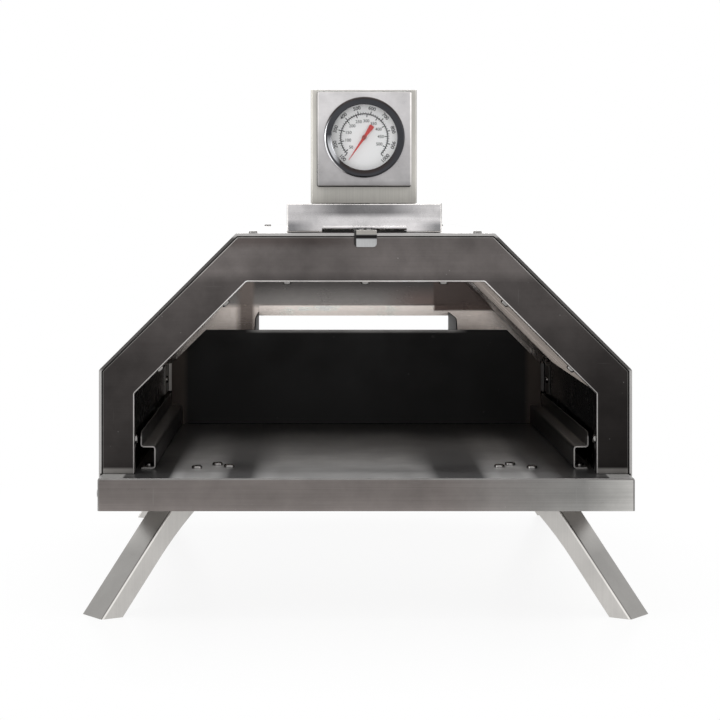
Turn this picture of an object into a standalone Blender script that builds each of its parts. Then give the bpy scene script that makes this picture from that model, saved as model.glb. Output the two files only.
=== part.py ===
"""Pellet pizza oven for a table top, folded from stainless sheet.

The oven stands on the plane z = 0 with its mouth facing -Y. A floor pan on four folding legs
carries a double-walled body with 45 degree shoulders. Inside are two rails for the baking
stone, a flame baffle and the burner chamber, which a fuel drawer fills from behind. A square
chimney with a thermometer stands on a collar with a sliding damper.

All lengths are in metres.
"""

import math

import bmesh
import bpy
from mathutils import Matrix, Vector

# Sheet and clearances
SHEET = 0.0010                  # body panels
HEAVY_SHEET = 0.0015            # legs and their brackets
GAP = 0.0003                    # between parts that touch
HOLE_CLEARANCE = 0.0003         # around a shank in its hole
OVERRUN = 0.004                 # how far a cutter runs past what it cuts
BEND_RADIUS = 0.0012            # inside radius of a fold
BEND_STEPS = 2
ROUND_SIDES = 12
SMALL_SIDES = 8

# Floor pan and stand
LEG_CLEARANCE = 0.0815          # ground to the lower edge of the skirts
SKIRT_HEIGHT = 0.025
SILL_REACH = 0.026              # landing sill in front of the front panel
PAN_CORNER = 0.0020

# Body, heights above the floor plate
BODY_WIDTH = 0.4096
BODY_DEPTH = 0.536
SHOULDER_HEIGHT = 0.0798
ROOF_HEIGHT = 0.1848
ROOF_WIDTH = 0.1990
HEM_DEPTH = 0.010               # folded-back front edge of the shell
SHELL_LAP = 0.020               # how far the shell's sides lap down over the skirts
SIDE_BORDER = 0.0274            # front panel beside the mouth
SHOULDER_BORDER = 0.0322        # along the mouth's shoulders
TOP_BORDER = 0.0374             # above the mouth
PANEL_FLANGE = 0.014            # turned-back edges of front and back panel
BLANKET_THICKNESS = 0.018

# Rear opening of the back panel
BURNER_BORDER = 0.1093          # back panel beside the opening
BURNER_HEIGHT = 0.0944
LIP_RISE = 0.010                # folded lip above the rear opening

# Stone rails
RAIL_FRONT = 0.031
RAIL_INSET = 0.0139             # web inside the side of the mouth
RAIL_FOOT = 0.011
RAIL_LEDGE_HEIGHT = 0.018
RAIL_LEDGE = 0.0107
RAIL_TOP = 0.029
RAIL_NOSE = 0.006               # rounded front corner of the upright

# Baffle and its brackets
BURNER_DEPTH = 0.151            # behind the baffle's face
BAFFLE_THICKNESS = 0.0012
BAFFLE_HEIGHT = 0.0887
BAFFLE_CLEARANCE = 0.0060       # chamfers inside the line of the mouth
BAFFLE_FOOT = 0.012
BRACKET_STRAP = 0.040
BRACKET_TAB = 0.0115
BRACKET_LOW = 0.031
BRACKET_HIGH = 0.057
BRACKET_HOLE_SETBACK = 0.012

# Burner side plates
SIDE_PLATE_HEIGHT = 0.098
SIDE_PLATE_CORNER = 0.024
SIDE_PLATE_FOOT = 0.012

# Flue, damper and chimney
FLUE_CENTRE = 0.101
FLUE_WIDTH = 0.058
FLUE_DEPTH = 0.070
SLEEVE_FLANGE = 0.008
COLLAR_WIDTH = 0.122
COLLAR_HEIGHT = 0.0226
COLLAR_FLANGE = 0.009
COLLAR_CORNER = 0.0015
SPIGOT_HEIGHT = 0.014
TUBE_WIDTH = 0.0843
TUBE_HEIGHT = 0.090
TUBE_CORNER = 0.0020
DAMPER_WIDTH = 0.0660
DAMPER_COVER = 0.003            # plate past the rear edge of the flue
DAMPER_NOSE = 0.004             # plate in front of the collar
DAMPER_SLOT_HEIGHT = 0.0032
TONGUE_INSET = 0.003            # tongue ends this far behind the front panel
TAB_WIDTH = 0.0173
TAB_STANDOFF = 0.0015
TAB_DROP = 0.0105
TAB_LAP = 0.015
TAB_CORNER = 0.0028
TAB_RIVET_SPACING = 0.0054

# Thermometer
PLATE_WIDTH = 0.0749
PLATE_HEIGHT = 0.0757
PLATE_DEPTH = 0.0140
PLATE_CORNER = 0.0018
PLATE_FROM_TOP = 0.0015         # plate edge below the chimney's top
DIAL_RISE = 0.0012              # dial above the middle of its plate
BEZEL_WALL = 0.0020
BEZEL_DEPTH = 0.0062
BEZEL_LIP = 0.0025              # bezel inside the case's outside
BEZEL_SLOPE = 0.0016
CASE_RADIUS = 0.0284
CASE_DEPTH = 0.0110
CASE_WALL = 0.0010
CASE_RIM = 0.0030               # rim in front of the plate
GLASS_THICKNESS = 0.0010
DIAL_THICKNESS = 0.0005
POINTER_LIFT = 0.0012
POINTER_THICKNESS = 0.0005
POINTER_CLEARANCE = 0.0054      # tip inside the case's wall
POINTER_TAIL = 0.0104
POINTER_TAIL_WIDTH = 0.0042
POINTER_TIP_WIDTH = 0.0006
POINTER_HUB = 0.0022
POINTER_ANGLE = math.radians(34.1)     # from straight down towards the left
SPINDLE_RADIUS = 0.0009
SPINDLE_TIP = 0.0008
SPINDLE_LENGTH = 0.030
BOSS_RADIUS = 0.0050
BOSS_LENGTH = 0.0115
PROBE_RADIUS = 0.0028
PROBE_LENGTH = 0.034
BORE_RADIUS = 0.0014
NUT_WIDTH = 0.0150
NUT_THICKNESS = 0.0040
DIAL_SIDES = 40

# Folding legs
LEG_WIDTH = 0.0305
LEG_FLANGE = 0.0146
LEG_LEAN = math.radians(38.0)
LEG_HEADING = math.radians(34.8)       # plan angle of the fold line from the X axis
LEG_PIN_INSET = 0.0672          # pin inside the body's side
LEG_PIN_SETBACK = 0.0324        # pin behind the front panel
LEG_PIN_DEPTH = 0.0110          # pin inside the web's outer face
LEG_EAR_RADIUS = 0.0105
LEG_FLARE_HEIGHT = 0.044        # height above the ground where the flange starts to widen
LEG_FLARE_STEPS = 6
PIN_RADIUS = 0.0025
PIN_HEAD = 0.0040
PIN_HEAD_HEIGHT = 0.0014
HINGE_EAR_RADIUS = 0.0075
HINGE_OUTWARD = 0.012
HINGE_EAR_INWARD = 0.015
HINGE_INWARD = 0.040
BOLT_NEAR = 0.0075              # the bolt between the ears
BOLT_FAR = 0.0320
BOLT_SPREAD = 0.0085

# Fuel drawer and pellet box
BOX_DEPTH = 0.066
BOX_HEIGHT = 0.066
BOX_FLANGE = 0.0125
BOX_FLANGE_LOW = 0.004
BOX_FLANGE_HIGH = 0.056
LID_RIM = 0.0080
LID_PIN_SETBACK = 0.0060
LID_PIN_RISE = 0.0035
LID_EAR_RADIUS = 0.0032
LID_CLEAR = 0.0010
LID_PIN_RADIUS = 0.0014
LID_PULL_WIDTH = 0.050
LID_PULL_REACH = 0.0080
DRAWER_SIDE_GAP = 0.006         # between the drawer and the side plates
DRAWER_FRONT = 0.040            # drawer nose behind the baffle
DRAWER_HEIGHT = 0.030
FACE_SIDE_LAP = 0.0025
FACE_TOP_LAP = 0.0050
FACE_THICKNESS = 0.0012
AIR_HOLE_RADIUS = 0.0045
AIR_HOLE_PITCH = 0.026
AIR_HOLES_PER_SIDE = 2
GRATE_HEIGHT = 0.012
GRATE_LENGTH = 0.100
GRATE_SIDE_GAP = 0.004
GRATE_END_GAP = 0.003
GRATE_COLUMNS = 5
GRATE_ROWS = 8
GRATE_SLOT_SHARE = 0.72         # slot length as a share of its column
GRATE_OPEN_SHARE = 0.40         # slot width as a share of its row
KNOB_RADIUS = 0.0110
KNOB_LENGTH = 0.0240
KNOB_NECK = 0.0055
KNOB_NECK_LENGTH = 0.0060
KNOB_ROUND = 0.0045
KNOB_BORE_DEPTH = 0.010

# Bolts, and the holes for the small screws and rivets
BOLT_HEAD = 0.0042
BOLT_HEAD_HEIGHT = 0.0022
BOLT_SHANK = 0.0020
SCREW_SHANK = 0.0016
SCREW_TIP = 0.0030              # shank past the last sheet
RIVET_SHANK = 0.0014
HEAD_CROWN_SHARE = 0.55         # flat crown of a domed head
HEAD_SIDE_SHARE = 0.45          # straight side of a domed head
ROOF_SCREW_SHARE = 0.87         # of half the roof's width
PANEL_SCREW_SHARE = 0.50        # of the flange's depth
RETURN_TOP_SHARES = (-0.66, 0.0, 0.66)
RETURN_SLOPE_SHARES = (0.19, 0.78)
RETURN_SIDE_SHARE = 0.42
SKIRT_SCREW_SHARE = 0.62        # down the skirt
SKIRT_SCREW_SETBACK = 0.0055
RAIL_SCREW_SETBACK = 0.014
SIDE_PLATE_SCREW_SHARES = (0.2, 0.8)
BOX_SCREW_SHARES = (0.2, 0.8)
COLLAR_RIVET_SHARE = 0.5

# Worked-out places
BODY_HALF = BODY_WIDTH / 2
PAN_HALF = BODY_HALF - SHEET - GAP
FLOOR = LEG_CLEARANCE + SKIRT_HEIGHT
ROOF = FLOOR + ROOF_HEIGHT
MOUTH_HALF = BODY_HALF - SIDE_BORDER
MOUTH_TOP = ROOF - TOP_BORDER
BURNER_HALF = BODY_HALF - BURNER_BORDER
BAFFLE_DEPTH = BODY_DEPTH - BURNER_DEPTH
RAIL_HALF = MOUTH_HALF - RAIL_INSET
LEG_PIN_X = BODY_HALF - LEG_PIN_INSET
COLLAR_HALF = COLLAR_WIDTH / 2
COLLAR_TOP = ROOF + GAP + COLLAR_HEIGHT
TUBE_HALF = TUBE_WIDTH / 2
TUBE_FOOT = COLLAR_TOP + GAP
TUBE_TOP = TUBE_FOOT + TUBE_HEIGHT
SPIGOT_HALF = TUBE_HALF - 2 * SHEET - GAP
PLATE_TOP = TUBE_TOP - PLATE_FROM_TOP
DIAL_HEIGHT = PLATE_TOP - PLATE_HEIGHT / 2 + DIAL_RISE
HINGE_TOP = FLOOR - SHEET - GAP
HINGE_UNDER = HINGE_TOP - HEAVY_SHEET
PIN_HEIGHT = HINGE_UNDER - GAP - LEG_EAR_RADIUS
FOOT_REACH = PIN_HEIGHT * math.tan(LEG_LEAN) + LEG_PIN_DEPTH / math.cos(LEG_LEAN)
BOX_REAR = BODY_DEPTH + GAP + BOX_DEPTH
FACE_FRONT = BOX_REAR + GAP
KNOB_SEAT = FACE_FRONT + FACE_THICKNESS + GAP

# The origin lies under the middle of the overall length
FOOT_FRONT = (FOOT_REACH * math.sin(LEG_HEADING) + LEG_WIDTH / 2 * math.cos(LEG_HEADING)
              - LEG_PIN_SETBACK)
FRONT_END = max(FOOT_FRONT, SILL_REACH)
REAR_END = KNOB_SEAT + KNOB_LENGTH
FRONT_FACE = -(REAR_END - FRONT_END) / 2

# Finishes: base colour, roughness, metallic
BRIGHT_STEEL = ((0.62, 0.61, 0.60), 0.28, 1.0)
BRUSHED_STEEL = ((0.52, 0.51, 0.50), 0.36, 1.0)
DARK_STEEL = ((0.075, 0.068, 0.066), 0.38, 0.9)
SILL_STEEL = ((0.20, 0.195, 0.19), 0.34, 1.0)
BLACK_STEEL = ((0.020, 0.019, 0.019), 0.50, 0.7)
SCREW_STEEL = ((0.42, 0.41, 0.40), 0.30, 1.0)
FIBRE = ((0.83, 0.81, 0.77), 0.95, 0.0)
GLASS = ((0.90, 0.92, 0.92), 0.05, 0.0)
DIAL_WHITE = ((0.86, 0.86, 0.85), 0.45, 0.0)
POINTER_RED = ((0.62, 0.02, 0.02), 0.40, 0.0)
KNOB_BLACK = ((0.02, 0.02, 0.02), 0.45, 0.0)


def deep(distance):
    """The Y of a place that lies this far behind the front panel's face."""
    return FRONT_FACE + distance


def clear_scene():
    for item in list(bpy.data.objects):
        bpy.data.objects.remove(item, do_unlink=True)


def make_object(name, mesh_data, finish, smooth=False):
    """Turns finished mesh data into a named part with its own material."""
    bmesh.ops.recalc_face_normals(mesh_data, faces=mesh_data.faces)
    mesh = bpy.data.meshes.new(name)
    mesh_data.to_mesh(mesh)
    mesh_data.free()
    part = bpy.data.objects.new(name, mesh)
    bpy.context.scene.collection.objects.link(part)
    colour, roughness, metallic = finish
    material = bpy.data.materials.new(name)
    material.use_nodes = True
    shader = material.node_tree.nodes["Principled BSDF"]
    shader.inputs["Base Color"].default_value = (*colour, 1.0)
    shader.inputs["Roughness"].default_value = roughness
    shader.inputs["Metallic"].default_value = metallic
    material.diffuse_color = (*colour, 1.0)
    mesh.materials.append(material)
    if smooth:
        shade_round(part)
    return part


def shade_round(part):
    part.data.shade_smooth()
    part.data.set_sharp_from_angle(angle=math.radians(40))


def combine(part, tool_data, operation):
    """Joins a solid to a part, or cuts it out, with the exact solver."""
    bmesh.ops.recalc_face_normals(tool_data, faces=tool_data.faces)
    mesh = bpy.data.meshes.new("tool")
    tool_data.to_mesh(mesh)
    tool_data.free()
    tool = bpy.data.objects.new("tool", mesh)
    tool.hide_render = True
    tool.display_type = "WIRE"
    bpy.context.scene.collection.objects.link(tool)
    modifier = part.modifiers.new("combine", "BOOLEAN")
    modifier.operation = operation
    modifier.solver = "EXACT"
    modifier.object = tool
    depsgraph = bpy.context.evaluated_depsgraph_get()
    result = bpy.data.meshes.new_from_object(part.evaluated_get(depsgraph))
    part.modifiers.clear()
    result.name = part.name
    part.data = result
    bpy.data.objects.remove(tool, do_unlink=True)


def cut(part, tool_data):
    combine(part, tool_data, "DIFFERENCE")


def weld(part, tool_data):
    combine(part, tool_data, "UNION")


def gather(solids):
    """Puts several separate solids into one bmesh."""
    together = bmesh.new()
    for solid in solids:
        mesh = bpy.data.meshes.new("solid")
        solid.to_mesh(mesh)
        solid.free()
        together.from_mesh(mesh)
        bpy.data.meshes.remove(mesh)
    return together


# Outlines

def line(points):
    return [Vector(point) for point in points]


def house_line(half_width, shoulder, top_half, top, base):
    """The shouldered outline of the body, from its left foot over the roof to its right foot."""
    return line([(-half_width, base), (-half_width, shoulder), (-top_half, top),
                 (top_half, top), (half_width, shoulder), (half_width, base)])


def shell_line(base):
    return house_line(BODY_HALF, FLOOR + SHOULDER_HEIGHT, ROOF_WIDTH / 2, ROOF, base)


def opening_line():
    """The outline of the mouth: the body's outline set in by its three borders."""
    borders = [SIDE_BORDER, SHOULDER_BORDER, TOP_BORDER, SHOULDER_BORDER, SIDE_BORDER]
    return set_in(shell_line(FLOOR + GAP), borders)


def meeting(first, second):
    """Where two straight lines meet, each given by two of its points."""
    start, end = first
    other, other_end = second
    along = end - start
    across = other_end - other
    return start + along * ((other - start).cross(across) / along.cross(across))


def set_in(points, distances):
    """Moves each run of an open line to its right by its own distance."""
    runs = []
    for here, there, distance in zip(points, points[1:], distances):
        along = (there - here).normalized()
        side = Vector((along.y, -along.x)) * distance
        runs.append((here + side, there + side))
    corners = [meeting(before, after) for before, after in zip(runs, runs[1:])]
    return [runs[0][0], *corners, runs[-1][1]]


def shifted(points, distance):
    """Moves an open line to its right, by the same distance everywhere."""
    return set_in(points, [distance] * (len(points) - 1))


def arc(centre, radius, start, end, steps):
    """Points on an arc, from one angle to another."""
    points = []
    for step in range(steps + 1):
        angle = start + (end - start) * step / steps
        points.append(centre + Vector((math.cos(angle), math.sin(angle))) * radius)
    return points


def rounded(points, right_extra, left_extra, steps=BEND_STEPS):
    """Rounds the inner corners of an open line.

    right_extra is added to the bend radius at corners that turn right, left_extra at corners
    that turn left, so that both faces of a folded sheet share the centre of each bend.
    """
    result = [points[0]]
    for before, corner, after in zip(points, points[1:], points[2:]):
        incoming = (corner - before).normalized()
        outgoing = (after - corner).normalized()
        turn = incoming.x * outgoing.y - incoming.y * outgoing.x
        radius = BEND_RADIUS + (left_extra if turn > 0 else right_extra)
        bisector = (outgoing - incoming).normalized()
        half = incoming.angle(-outgoing) / 2
        centre = corner + bisector * (radius / math.sin(half))
        start = corner - incoming * (radius / math.tan(half)) - centre
        end = corner + outgoing * (radius / math.tan(half)) - centre
        first = math.atan2(start.y, start.x)
        sweep = math.copysign(start.angle(end), turn)
        result += arc(centre, radius, first, first + sweep, steps)
    result.append(points[-1])
    return result


def sheet_lines(points, thickness):
    """Both faces of a sheet folded along an open line; the second lies to the right."""
    near = rounded(points, thickness, 0)
    far = rounded(shifted(points, thickness), 0, thickness)
    return near, far


# Solids

def prism(outline, start, end, plane):
    """Extrudes a closed outline. The plane's two letters name the outline's own axes."""
    solid = bmesh.new()

    def place(point, level):
        if plane == "xz":
            return Vector((point[0], level, point[1]))
        if plane == "yz":
            return Vector((level, point[0], point[1]))
        return Vector((point[0], point[1], level))

    low = [solid.verts.new(place(point, start)) for point in outline]
    face = solid.faces.new(low)
    pushed = bmesh.ops.extrude_face_region(solid, geom=[face])
    moved = [item for item in pushed["geom"] if isinstance(item, bmesh.types.BMVert)]
    step = place((0, 0), end) - place((0, 0), start)
    bmesh.ops.translate(solid, verts=moved, vec=step)
    bmesh.ops.recalc_face_normals(solid, faces=solid.faces)
    return solid


def folded_sheet(points, thickness, start, end, plane):
    near, far = sheet_lines(points, thickness)
    return prism(near + far[::-1], start, end, plane)


def block(low, high):
    """A plain box between two corners."""
    outline = [(low[0], low[1]), (high[0], low[1]), (high[0], high[1]), (low[0], high[1])]
    return prism(outline, low[2], high[2], "xy")


def rounded_block(low, high, radius, open_side):
    """A box whose edges are rounded, apart from those of its open side (an axis and a sign)."""
    solid = block(low, high)
    axis, sign = open_side
    level = high[axis] if sign > 0 else low[axis]
    edges = []
    for edge in solid.edges:
        if any(abs(vert.co[axis] - level) > GAP / 2 for vert in edge.verts):
            edges.append(edge)
    bmesh.ops.bevel(solid, geom=edges, offset=radius, segments=BEND_STEPS, profile=0.5,
                    affect="EDGES", clamp_overlap=True)
    return solid


def tray(name, low, high, wall, radius, open_side, finish):
    """A folded open box: one side missing, all its walls inside the given corners."""
    part = make_object(name, rounded_block(low, high, radius, open_side), finish)
    axis, sign = open_side
    inner_low = [value + wall for value in low]
    inner_high = [value - wall for value in high]
    if sign > 0:
        inner_high[axis] = high[axis] + OVERRUN
    else:
        inner_low[axis] = low[axis] - OVERRUN
    cut(part, rounded_block(inner_low, inner_high, radius - wall, open_side))
    return part


def duct(profile, half_x, half_y, corner, centre_x, centre_y):
    """Sweeps a closed profile of (outward, height) points round a rectangle with round corners.

    Every ring keeps the same corner radius, so the walls stay square to each other.
    """
    solid = bmesh.new()
    rings = []
    for outward, height in profile:
        ring = []
        for quarter in range(4):
            start = quarter * math.pi / 2
            sign_x = 1 if quarter in (0, 3) else -1
            sign_y = 1 if quarter in (0, 1) else -1
            centre = Vector((sign_x * (half_x + outward - corner),
                             sign_y * (half_y + outward - corner)))
            points = arc(centre, corner, start, start + math.pi / 2, BEND_STEPS)
            ring += [solid.verts.new((centre_x + point.x, centre_y + point.y, height))
                     for point in points]
        rings.append(ring)
    join_rings(solid, rings)
    return solid


def join_rings(solid, rings):
    """Skins a closed loop of closed rings."""
    for ring, following in zip(rings, rings[1:] + rings[:1]):
        count = len(ring)
        for index in range(count):
            after = (index + 1) % count
            solid.faces.new((ring[index], ring[after], following[after], following[index]))


def skin_stations(stations):
    """Skins a row of closed sections and caps both ends."""
    solid = bmesh.new()
    rings = [[solid.verts.new(point) for point in station] for station in stations]
    for ring, following in zip(rings, rings[1:]):
        count = len(ring)
        for index in range(count):
            after = (index + 1) % count
            solid.faces.new((ring[index], ring[after], following[after], following[index]))
    solid.faces.new(rings[0])
    solid.faces.new(rings[-1][::-1])
    return solid


def turned(profile, sides):
    """Turns a profile of (radius, height) points round Z. Points on the axis close it."""
    solid = bmesh.new()
    rings = []
    for radius, height in profile:
        if radius == 0:
            rings.append([solid.verts.new((0, 0, height))] * sides)
            continue
        ring = []
        for side in range(sides):
            angle = 2 * math.pi * (side + 0.5) / sides
            ring.append(solid.verts.new((radius * math.cos(angle), radius * math.sin(angle),
                                         height)))
        rings.append(ring)
    closed = profile[0][0] == 0 and profile[-1][0] == 0
    pairs = list(zip(rings, rings[1:])) if closed else list(zip(rings, rings[1:] + rings[:1]))
    for ring, following in pairs:
        for side in range(sides):
            after = (side + 1) % sides
            corners = []
            for vert in (ring[side], ring[after], following[after], following[side]):
                if vert not in corners:
                    corners.append(vert)
            if len(corners) > 2:
                solid.faces.new(corners)
    return solid


def facing(direction):
    """The turn that takes +Z to a direction."""
    return Vector(direction).to_track_quat("Z", "Y").to_matrix().to_4x4()


def placed(solid, position, direction=(0, 0, 1)):
    bmesh.ops.transform(solid, matrix=Matrix.Translation(position) @ facing(direction),
                        verts=solid.verts)
    return solid


def rod(position, direction, radius, length, sides=SMALL_SIDES):
    """A plain round bar from a position along a direction."""
    return placed(turned([(0, 0), (radius, 0), (radius, length), (0, length)], sides),
                  position, direction)


def fastener(head, head_height, shank, length, sides=SMALL_SIDES):
    """A domed head with its shank, seated at z = 0 with the head above."""
    crown = head * HEAD_CROWN_SHARE
    side = head_height * HEAD_SIDE_SHARE
    return turned([(0, GAP + head_height), (crown, GAP + head_height), (head, GAP + side),
                   (head, GAP), (shank, GAP), (shank, -length), (0, -length)], sides)


def make_bolts(names, places):
    """One bolt for each place: its seat, the way its head faces and its grip."""
    for name, (seat, direction, grip) in zip(names, places):
        bolt = placed(fastener(BOLT_HEAD, BOLT_HEAD_HEIGHT, BOLT_SHANK, grip), seat, direction)
        make_object(name, bolt, SCREW_STEEL, smooth=True)


def drill(part, places, shank):
    """Clears the shanks of a group of fasteners out of a part that they pass through."""
    holes = []
    for seat, direction, grip in places:
        start = Vector(seat) + Vector(direction) * GAP
        back = -Vector(direction)
        holes.append(rod(start, back, shank + HOLE_CLEARANCE, grip + OVERRUN))
    cut(part, gather(holes))


def hexagon_nut(width, thickness, bore):
    """A hexagon nut lying on z = 0, as a six-sided block with a round bore."""
    sides = 6
    corner = width / 2 / math.cos(math.pi / sides)
    solid = bmesh.new()
    rings = []
    for radius, height in ((bore, 0), (corner, 0), (corner, thickness), (bore, thickness)):
        ring = []
        for side in range(2 * sides):
            angle = math.pi * side / sides
            reach = radius
            if radius == corner and side % 2:
                reach = width / 2
            ring.append(solid.verts.new((reach * math.cos(angle), reach * math.sin(angle),
                                         height)))
        rings.append(ring)
    join_rings(solid, rings)
    return solid


# Places of the fasteners

def rail_screw_places():
    across = RAIL_HALF + SHEET + (RAIL_FOOT - SHEET) / 2
    seat = FLOOR + GAP + SHEET
    rear = BAFFLE_DEPTH - RAIL_SCREW_SETBACK
    places = []
    for side in (-1, 1):
        for setback in (RAIL_FRONT + RAIL_SCREW_SETBACK, rear):
            places.append(((side * across, deep(setback), seat), (0, 0, 1),
                           2 * SHEET + GAP + SCREW_TIP))
    return places


def roof_screw_places():
    """Two screws at each end of the roof, through the shell into the panels' flanges."""
    across = ROOF_WIDTH / 2 * ROOF_SCREW_SHARE
    setback = PANEL_FLANGE * PANEL_SCREW_SHARE
    places = []
    for side in (-1, 1):
        for distance in (setback, BODY_DEPTH - setback):
            places.append(((side * across, deep(distance), ROOF), (0, 0, 1),
                           3 * SHEET + GAP + SCREW_TIP))
    return places


def skirt_screw_places():
    """Screws through the shell's laps into the pan's side skirts."""
    height = FLOOR - SKIRT_HEIGHT * SKIRT_SCREW_SHARE
    places = []
    for side in (-1, 1):
        for distance in (SKIRT_SCREW_SETBACK, BODY_DEPTH - SKIRT_SCREW_SETBACK):
            places.append(((side * BODY_HALF, deep(distance), height), (side, 0, 0),
                           2 * SHEET + GAP + SCREW_TIP))
    return places


def return_screw_places():
    """Screws from inside the mouth, through its turned-back edge into the liner."""
    depth = deep(PANEL_FLANGE * PANEL_SCREW_SHARE)
    left_foot, left_kink, left_top, right_top, right_kink, right_foot = opening_line()
    grip = 2 * SHEET + GAP + SCREW_TIP
    places = []
    for share in RETURN_TOP_SHARES:
        places.append(((share * right_top.x, depth, right_top.y), (0, 0, -1), grip))
    for kink, top, foot in ((left_kink, left_top, left_foot), (right_kink, right_top, right_foot)):
        run = kink - top
        side = math.copysign(1, kink.x)
        inward = Vector((run.y * side, 0, -run.x * side)).normalized()
        for share in RETURN_SLOPE_SHARES:
            point = top + run * share
            places.append(((point.x, depth, point.y), inward, grip))
        height = foot.y + (kink.y - foot.y) * RETURN_SIDE_SHARE
        places.append(((kink.x, depth, height), (-side, 0, 0), grip))
    return places


def baffle_screw_places():
    """Screws through the wall straps into the liner."""
    across = MOUTH_HALF
    setback = BAFFLE_DEPTH + BAFFLE_THICKNESS + GAP - BRACKET_STRAP + BRACKET_HOLE_SETBACK
    height = FLOOR + (BRACKET_LOW + BRACKET_HIGH) / 2
    places = []
    for side in (-1, 1):
        places.append(((side * across, deep(setback), height), (-side, 0, 0),
                       2 * SHEET + GAP + SCREW_TIP))
    return places


def side_plate_span():
    """Front and rear end of the burner side plates."""
    front = BAFFLE_DEPTH + BAFFLE_THICKNESS + BAFFLE_FOOT + GAP
    return front, BODY_DEPTH - SHEET - GAP


def side_plate_screw_places():
    front, rear = side_plate_span()
    across = BURNER_HALF + SHEET + (SIDE_PLATE_FOOT - SHEET) / 2
    places = []
    for side in (-1, 1):
        for share in SIDE_PLATE_SCREW_SHARES:
            places.append(((side * across, deep(front + (rear - front) * share),
                            FLOOR + GAP + SHEET), (0, 0, 1), 2 * SHEET + GAP + SCREW_TIP))
    return places


def box_screw_places():
    """Screws through the pellet box's flanges into the back panel."""
    across = BURNER_HALF + BOX_FLANGE / 2
    low, high = BOX_FLANGE_LOW, BOX_FLANGE_HIGH
    places = []
    for side in (-1, 1):
        for share in BOX_SCREW_SHARES:
            places.append(((side * across, deep(BODY_DEPTH + GAP + SHEET),
                            FLOOR + low + (high - low) * share), (0, 1, 0),
                           2 * SHEET + GAP + SCREW_TIP))
    return places


def collar_rivet_places():
    across = COLLAR_HALF - SHEET - COLLAR_FLANGE / 2
    places = []
    for side in (-1, 1):
        for end in (-1, 1):
            setback = FLUE_CENTRE + end * COLLAR_HALF * COLLAR_RIVET_SHARE
            places.append(((side * across, deep(setback), ROOF + GAP + SHEET), (0, 0, 1),
                           2 * SHEET + GAP))
    return places


def damper_rivet_places():
    seat = ROOF + 2 * (GAP + SHEET)
    setback = TONGUE_INSET + TAB_LAP / 2
    return [((side * TAB_RIVET_SPACING / 2, deep(setback), seat), (0, 0, 1),
             2 * SHEET + GAP) for side in (-1, 1)]


def leg_corners():
    """Name, pin position and plan angle of the inward direction for each leg."""
    corners = []
    for row, end in (("front", 1), ("rear", -1)):
        for hand, side in (("left", -1), ("right", 1)):
            setback = LEG_PIN_SETBACK if end > 0 else BODY_DEPTH - SILL_REACH - LEG_PIN_SETBACK
            pin = Vector((side * LEG_PIN_X, deep(setback), PIN_HEIGHT))
            heading = math.atan2(end * math.sin(LEG_HEADING), -side * math.cos(LEG_HEADING))
            corners.append((f"{row}_{hand}", pin, heading))
    return corners


def leg_bolt_places():
    """Three bolts down through the floor into each hinge bracket."""
    grip = SHEET + HEAVY_SHEET + GAP + SCREW_TIP
    places = []
    for _, pin, heading in leg_corners():
        turn = Matrix.Rotation(heading, 3, "Z")
        for inward, across in ((BOLT_NEAR, 0), (BOLT_FAR, -BOLT_SPREAD), (BOLT_FAR, BOLT_SPREAD)):
            spot = pin + turn @ Vector((inward, across, 0))
            places.append(((spot.x, spot.y, FLOOR), (0, 0, 1), grip))
    return places


# Body

def make_base_pan():
    low = (-PAN_HALF, deep(-SILL_REACH), LEG_CLEARANCE)
    high = (PAN_HALF, deep(BODY_DEPTH), FLOOR)
    pan = tray("base_pan", low, high, SHEET, PAN_CORNER, (2, -1), SILL_STEEL)
    drill(pan, rail_screw_places() + skirt_screw_places() + side_plate_screw_places(),
          SCREW_SHANK)
    drill(pan, leg_bolt_places(), BOLT_SHANK)


def make_outer_shell():
    sheet = folded_sheet(shell_line(FLOOR - SHELL_LAP), SHEET, deep(0), deep(BODY_DEPTH), "xz")
    shell = make_object("outer_shell", sheet, BRUSHED_STEEL)
    fold = shifted(shell_line(FLOOR + GAP), SHEET / 2)
    weld(shell, folded_sheet(fold, 1.5 * SHEET, deep(0), deep(HEM_DEPTH), "xz"))
    cut(shell, flue_cutter(ROOF))
    drill(shell, roof_screw_places() + skirt_screw_places(), SCREW_SHANK)
    drill(shell, collar_rivet_places(), RIVET_SHANK)


def flue_cutter(height):
    """The flue's clear passage through a roof at this height."""
    return block((-FLUE_WIDTH / 2, deep(FLUE_CENTRE - FLUE_DEPTH / 2), height - OVERRUN),
                 (FLUE_WIDTH / 2, deep(FLUE_CENTRE + FLUE_DEPTH / 2), height + OVERRUN))


def make_front_panel():
    """A channel-section frame: face, outer flange inside the shell, return round the mouth."""
    outer = shifted(shell_line(FLOOR + GAP), 2 * SHEET + GAP)
    outer_face = rounded(outer, SHEET, 0)
    outer_inside = rounded(shifted(outer, SHEET), 0, SHEET)
    mouth = rounded(opening_line(), 0, 0)
    mouth_outside = rounded(shifted(opening_line(), -SHEET), SHEET, 0)
    stations = []
    for edge, inside, back, opening in zip(outer_face, outer_inside, mouth_outside, mouth):
        section = ((edge, 0), (edge, PANEL_FLANGE), (inside, PANEL_FLANGE), (inside, SHEET),
                   (back, SHEET), (back, PANEL_FLANGE), (opening, PANEL_FLANGE), (opening, 0))
        stations.append([(point.x, deep(distance), point.y) for point, distance in section])
    panel = make_object("front_panel", skin_stations(stations), DARK_STEEL)
    drill(panel, roof_screw_places() + return_screw_places(), SCREW_SHANK)


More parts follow.
